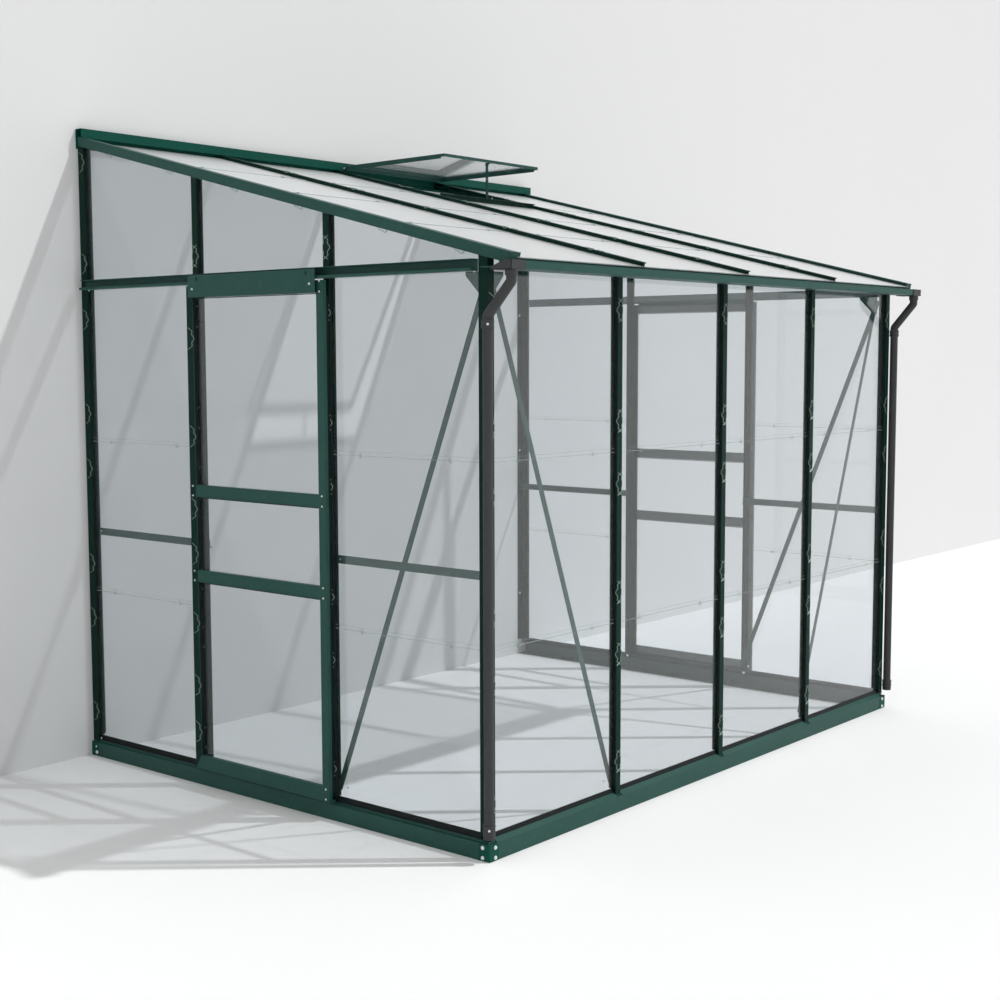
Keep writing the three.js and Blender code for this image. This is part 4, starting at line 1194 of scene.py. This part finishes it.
class GREENHOUSE_OT_downpipes(bpy.types.Operator):
    """Makes the downpipes with their gutter cups, clamps and screws"""

    bl_idname = "greenhouse.downpipes"
    bl_label = "Downpipes"

    def execute(self, context):
        for side in SIDES:
            sign = SIGN[side]
            pipe = side + "_downpipe"
            step = (gutter_cup, sign)
            cup = piece(side + "_gutter_cup", PLASTIC, STRUCTURE, step, rounding=0.6 * MM)
            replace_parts(cup, pipe)
            steps = (socket_and_pipe, sign), (pipe_collars, sign)
            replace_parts(piece(side + "_pipe_run", PLASTIC, STRUCTURE, *steps), pipe)
            piece(side + "_collar_screws", STEEL, STRUCTURE, (collar_screws, sign))
        return {"FINISHED"}


# Doors

DOOR_LIGHTS = ((0.111, 0.703), (0.745, 0.989), (1.031, 1.648))  # feet and heads of the openings
DOOR_RAILS = (86 * MM, 724 * MM, 1010 * MM, 1668 * MM)  # middles of the rails
STILE_FOOT = 50 * MM
BRUSH_FOOT, BRUSH_HEAD = 0.075, 1.64
RAIL_SCREWS = 16 * MM  # above and below the middle of a rail
PLATE_BOLT_HEIGHT = 1.676
PLATE_BOLT_HALF = 279 * MM  # half the distance between the bolts of a header plate


def door_screws(body, sign):
    """Screws at the rail ends and the bolts of the header plate."""
    fittings = settings()[1]
    low, high = low_of("left_door_frame"), high_of("left_door_frame")
    width, height = fittings.screw_width, fittings.bolt_height * 0.75
    for y in (low.y + 15 * MM, high.y - 15 * MM):
        for z in DOOR_RAILS:
            for step in (-RAIL_SCREWS, RAIL_SCREWS):
                if y > DOOR and z in (DOOR_RAILS[0], DOOR_RAILS[-1]):
                    continue
                spot = Vector((sign * DOOR_STILE_FACE, y, z + step))
                body.screw(spot, ALONG_X * sign, width, height)
    plate = sign * (HEADER_FACE - 4 * MM)
    for y in (DOOR - PLATE_BOLT_HALF, DOOR + PLATE_BOLT_HALF):
        spot = Vector((plate, y, PLATE_BOLT_HEIGHT))
        body.screw(spot, ALONG_X * sign, width * 1.2, fittings.bolt_height)


def door_seals(body, sign):
    """Brush strips behind the stiles, and rubber beside and over the openings of the glass."""
    low, high = low_of("left_door_frame"), high_of("left_door_frame")
    near, far = sorted((sign * (CAP_END + 1 * MM), sign * (DOOR_FACE - 3.3 * MM)))
    for y in (low.y + 3 * MM, high.y - 9 * MM):
        start = Vector((near, y, BRUSH_FOOT))
        body.box(start, Vector((far, y + 6 * MM, BRUSH_HEAD)))
    depth = DOOR_STILE_FACE - DOOR_FACE
    out = ALONG_X * sign
    front = low.y + STILE_WIDTH
    for foot, head in DOOR_LIGHTS:
        for y, inward in ((DOOR_STILE, -1), (front, 1)):
            ends = [Vector((sign * DOOR_STILE_FACE, y, z)) for z in (foot, head)]
            add_seal(body, *ends, ALONG_Y * inward, out, depth)
        ends = [Vector((sign * DOOR_STILE_FACE, y, head)) for y in (front, DOOR_STILE)]
        add_seal(body, *ends, -UP, out, depth)


class GREENHOUSE_OT_door_fittings(bpy.types.Operator):
    """Adds the screws and seals of the doors"""

    bl_idname = "greenhouse.door_fittings"
    bl_label = "Door Fittings"

    def execute(self, context):
        for side in SIDES:
            sign, door = SIGN[side], side + "_door"
            piece(door + "_screws", STEEL, door, (door_screws, sign))
            piece(door + "_seals", NYLON, door, (door_seals, sign), rounding=0.8 * MM)
        return {"FINISHED"}


# Vent

VENT_AJAR = math.radians(14.5)  # how far the vent stands open at rest
VENT_TURN = Matrix.Rotation(ROOF_PITCH - VENT_AJAR, 3, "X")
VENT_CORNERS = [(x * MM, y * MM) for x in (-286, 286) for y in (-552, -24)]
PEG_PROFILE = ((4.5, 0), (4.5, 1.5), (2, 2), (2, 5), (1.2, 6))  # radius, height in mm


def on_vent(x, y, z):
    """A place in the vent's own frame, whose origin is the middle of the hinge."""
    return VENT_HINGE + VENT_TURN @ Vector((x, y, z))


def vent_screws(body):
    top = VENT_TURN @ UP
    for x, y in VENT_CORNERS:
        body.screw(on_vent(x, y, 9 * MM), top, 6.5 * MM, 2.2 * MM)
    body.bolt(on_vent(3.8 * MM, -530 * MM, -3.5 * MM), ALONG_X, 7 * MM, 3 * MM)
    for side in (-1, 1):
        body.screw(on_vent(side * 296 * MM, 0, 0), ALONG_X * side, 8 * MM, 2.5 * MM)


def sill_stud(body):
    """The peg on the sill that the holes of the stay fit over."""
    sill = high_of("vent_sill")
    place = Vector((VENT_HINGE.x + 22 * MM, sill.y - 5 * MM, sill.z - 2 * MM))
    profile = [(radius * MM, rise * MM) for radius, rise in PEG_PROFILE]
    body.turned(profile, place, OFF_SLOPE, 16)


class GREENHOUSE_OT_vent_fittings(bpy.types.Operator):
    """Adds the screws of the vent and the peg for its stay"""

    bl_idname = "greenhouse.vent_fittings"
    bl_label = "Vent Fittings"

    def execute(self, context):
        piece("vent_screws", STEEL, "vent", (vent_screws,))
        piece("vent_stay_peg", STEEL, STRUCTURE, (sill_stud,))
        return {"FINISHED"}


# Frame

# above this height the faces of the base rails get painted shade
LEDGE_TOP = 58 * MM  # the sloping ledge of the base ends here, at the upright
# Parts that get the darker green that paints shade on them
SHADED_BAR_WORDS = ("bar_", "corner_post", "wall_post", "vent_sill")


def finish_of(node):
    """The finish of a part of the frame, by what it is."""
    if "pane" in node:
        return ROOF_GLASS if node.startswith("roof") else WALL_GLASS
    if "downpipe" in node:
        return PLASTIC
    if "roller" in node:
        return NYLON
    # bars, posts and the vent sill: painted shade, the darker green
    if any(word in node for word in SHADED_BAR_WORDS):
        return SHADED_BAR_PAINT
    return PLATE_PAINT if "ridge" in node else PAINT


class GREENHOUSE_OT_finish_frame(bpy.types.Operator):
    """Gives every part of the frame its finish and breaks its edges"""

    bl_idname = "greenhouse.finish_frame"
    bl_label = "Finish Frame"

    def execute(self, context):
        radius = settings()[0].edge_rounding
        for name, part in frame["nodes"].items():
            part.data.materials.clear()
            part.data.materials.append(material_of(finish_of(name)))
            if "pane" not in name:
                weld = part.modifiers.new("weld", "WELD")
                weld.merge_threshold = 0.01 * MM
                round_edges(part, radius)
        # Painted shade: the wall stiles and the uprights of the base rails take the bars' darker
        # green
        for side in SIDES:
            paint_shade_on_wall_stile(frame["nodes"][side + "_door_frame"])
        for rail in ("front", *SIDES):
            paint_shade_on_upright(frame["nodes"][rail + "_base_rail"])
        return {"FINISHED"}


def paint_shade_on_wall_stile(door):
    """The stile on the wall side is made of the bars' profile and takes their darker green, which
    paints shade on it.
    """
    door.data.materials.append(material_of(SHADED_BAR_PAINT))
    edge = high_of(door.name).y - STILE_WIDTH
    for face in door.data.polygons:
        if face.center.y > edge and STILE_FOOT < face.center.z < DOOR_LIGHTS[-1][1]:
            face.material_index = 1


def paint_shade_on_upright(rail):
    """The upright behind the panes' feet is in the shade of the seals, and that shade is painted on
    it: faces above the ledge take the bars' darker green.
    """
    rail.data.materials.append(material_of(SHADED_BAR_PAINT))
    for face in rail.data.polygons:
        if face.center.z > LEDGE_TOP:
            face.material_index = 1


# Stage


def mottled(sheet, grey, scale):
    """A grey with a faint mottle of that many cells to the metre."""
    dark, pale = grey * 0.985, min(1, grey * 1.015)
    return sheet.blend(sheet.noise(scale, 5), (dark,) * 3 + (1,), (pale,) * 3 + (1,))


def pale_floor(grey):
    """A pale matt surface with a faint mottle."""
    sheet = Sheet(bpy.data.materials.new("pale_floor"))
    return sheet.coat(
        Base_Color=mottled(sheet, grey, 1.1),
        Roughness=0.85,
        Specular_IOR_Level=0.15,
        Normal=sheet.bump(sheet.noise(350, 2), 0.1 * MM, 0.2),
    )


def pale_wall(grey):
    """The building wall's finish, which shows from the front only."""
    sheet = Sheet(bpy.data.materials.new("pale_wall"))
    tone = mottled(sheet, grey, 0.9)
    matt = sheet.principled(Base_Color=tone, Roughness=0.9, Specular_IOR_Level=0.1)
    back = sheet.node("ShaderNodeNewGeometry", {}, {}, "Backfacing")
    clear = sheet.node("ShaderNodeBsdfTransparent", {}, {})
    return sheet.finish(sheet.mix(back, matt, clear))


def flat_sheet(name, corners, material):
    """A plane of the surroundings."""
    data = bpy.data.meshes.new(name)
    data.from_pydata(corners, [], [range(len(corners))])
    data.materials.append(material)
    made = bpy.data.objects.new(name, data)
    bpy.context.scene.collection.objects.link(made)


def set_camera(stage):
    data = bpy.data.cameras.new("camera")
    data.lens = stage.lens
    data.sensor_width = 36
    data.clip_end = 200
    camera = bpy.data.objects.new("camera", data)
    turn = (
        Matrix.Rotation(-stage.camera_yaw, 4, "Z")
        @ Matrix.Rotation(math.pi / 2 + stage.camera_pitch, 4, "X")
        @ Matrix.Rotation(stage.camera_roll, 4, "Z")
    )
    camera.matrix_world = Matrix.Translation(stage.camera_place) @ turn
    bpy.context.scene.collection.objects.link(camera)
    bpy.context.scene.camera = camera


def set_sun(stage):
    data = bpy.data.lights.new("sun", "SUN")
    data.energy = stage.sun
    data.angle = stage.sun_width
    sun = bpy.data.objects.new("sun", data)
    travel = Vector(stage.sun_travel)
    sun.matrix_world = (-UP).rotation_difference(travel).to_matrix().to_4x4()
    bpy.context.scene.collection.objects.link(sun)


def set_sky(stage):
    """Even light, which eyes, mirrors and panes see as white."""
    world = bpy.context.scene.world or bpy.data.worlds.new("world")
    bpy.context.scene.world = world
    sheet = Sheet(world)
    seen = sheet.node("ShaderNodeLightPath", {}, {}, "Is Camera Ray")
    mirrored = sheet.node("ShaderNodeLightPath", {}, {}, "Is Glossy Ray")
    through = sheet.node("ShaderNodeLightPath", {}, {}, "Is Transmission Ray")
    even = sheet.node("ShaderNodeBackground", {}, {"Color": (1, 1, 1, 1), "Strength": stage.sky})
    white = sheet.node("ShaderNodeBackground", {}, {"Color": (1, 1, 1, 1), "Strength": 1})
    shown = seen.or_more(mirrored).or_more(through)
    sheet.finish(sheet.mix(shown, even, white), "ShaderNodeOutputWorld")


class GREENHOUSE_OT_stage(bpy.types.Operator):
    """Sets the floor, the building wall, the light and the camera"""

    bl_idname = "greenhouse.stage"
    bl_label = "Stage"

    def execute(self, context):
        stage = settings()[2]
        far = stage.floor_size
        floor = [(-far, -far, 0), (far, -far, 0), (far, far, 0), (-far, far, 0)]
        flat_sheet("floor", floor, pale_floor(stage.floor_grey))
        y = WALL + 1 * MM
        height = stage.wall_height
        wall = [(-far, y, 0), (far, y, 0), (far, y, height), (-far, y, height)]
        flat_sheet("building_wall", wall, pale_wall(stage.wall_grey))
        set_camera(stage)
        set_sun(stage)
        set_sky(stage)
        context.scene.view_settings.view_transform = "Standard"
        return {"FINISHED"}


# Panel and registration

OPERATORS = (
    GREENHOUSE_OT_finish_frame,
    GREENHOUSE_OT_glazing_clips,
    GREENHOUSE_OT_seals,
    GREENHOUSE_OT_lap_joints,
    GREENHOUSE_OT_plates,
    GREENHOUSE_OT_bolts,
    GREENHOUSE_OT_downpipes,
    GREENHOUSE_OT_door_fittings,
    GREENHOUSE_OT_vent_fittings,
    GREENHOUSE_OT_stage,
)


class GREENHOUSE_PT_sidebar(bpy.types.Panel):
    """Lists the pieces of the greenhouse"""

    bl_idname = "GREENHOUSE_PT_sidebar"
    bl_label = "Greenhouse"
    bl_space_type = "VIEW_3D"
    bl_region_type = "UI"
    bl_category = "Greenhouse"

    def draw(self, context):
        for operator in OPERATORS:
            self.layout.operator(operator.bl_idname)


CLASSES = (FinishSettings, FittingSettings, StageSettings, *OPERATORS, GREENHOUSE_PT_sidebar)


def register():
    for item in CLASSES:
        bpy.utils.register_class(item)
    bpy.types.Scene.greenhouse_finish = PointerProperty(type=FinishSettings)
    bpy.types.Scene.greenhouse_fittings = PointerProperty(type=FittingSettings)
    bpy.types.Scene.greenhouse_stage = PointerProperty(type=StageSettings)


def unregister():
    del bpy.types.Scene.greenhouse_stage
    del bpy.types.Scene.greenhouse_fittings
    del bpy.types.Scene.greenhouse_finish
    for item in reversed(CLASSES):
        bpy.utils.unregister_class(item)


def main():
    """Runs every step in order."""
    register()
    for operator in OPERATORS:
        group, step = operator.bl_idname.split(".")
        getattr(getattr(bpy.ops, group), step)()


if __name__ == "__main__":
    main()
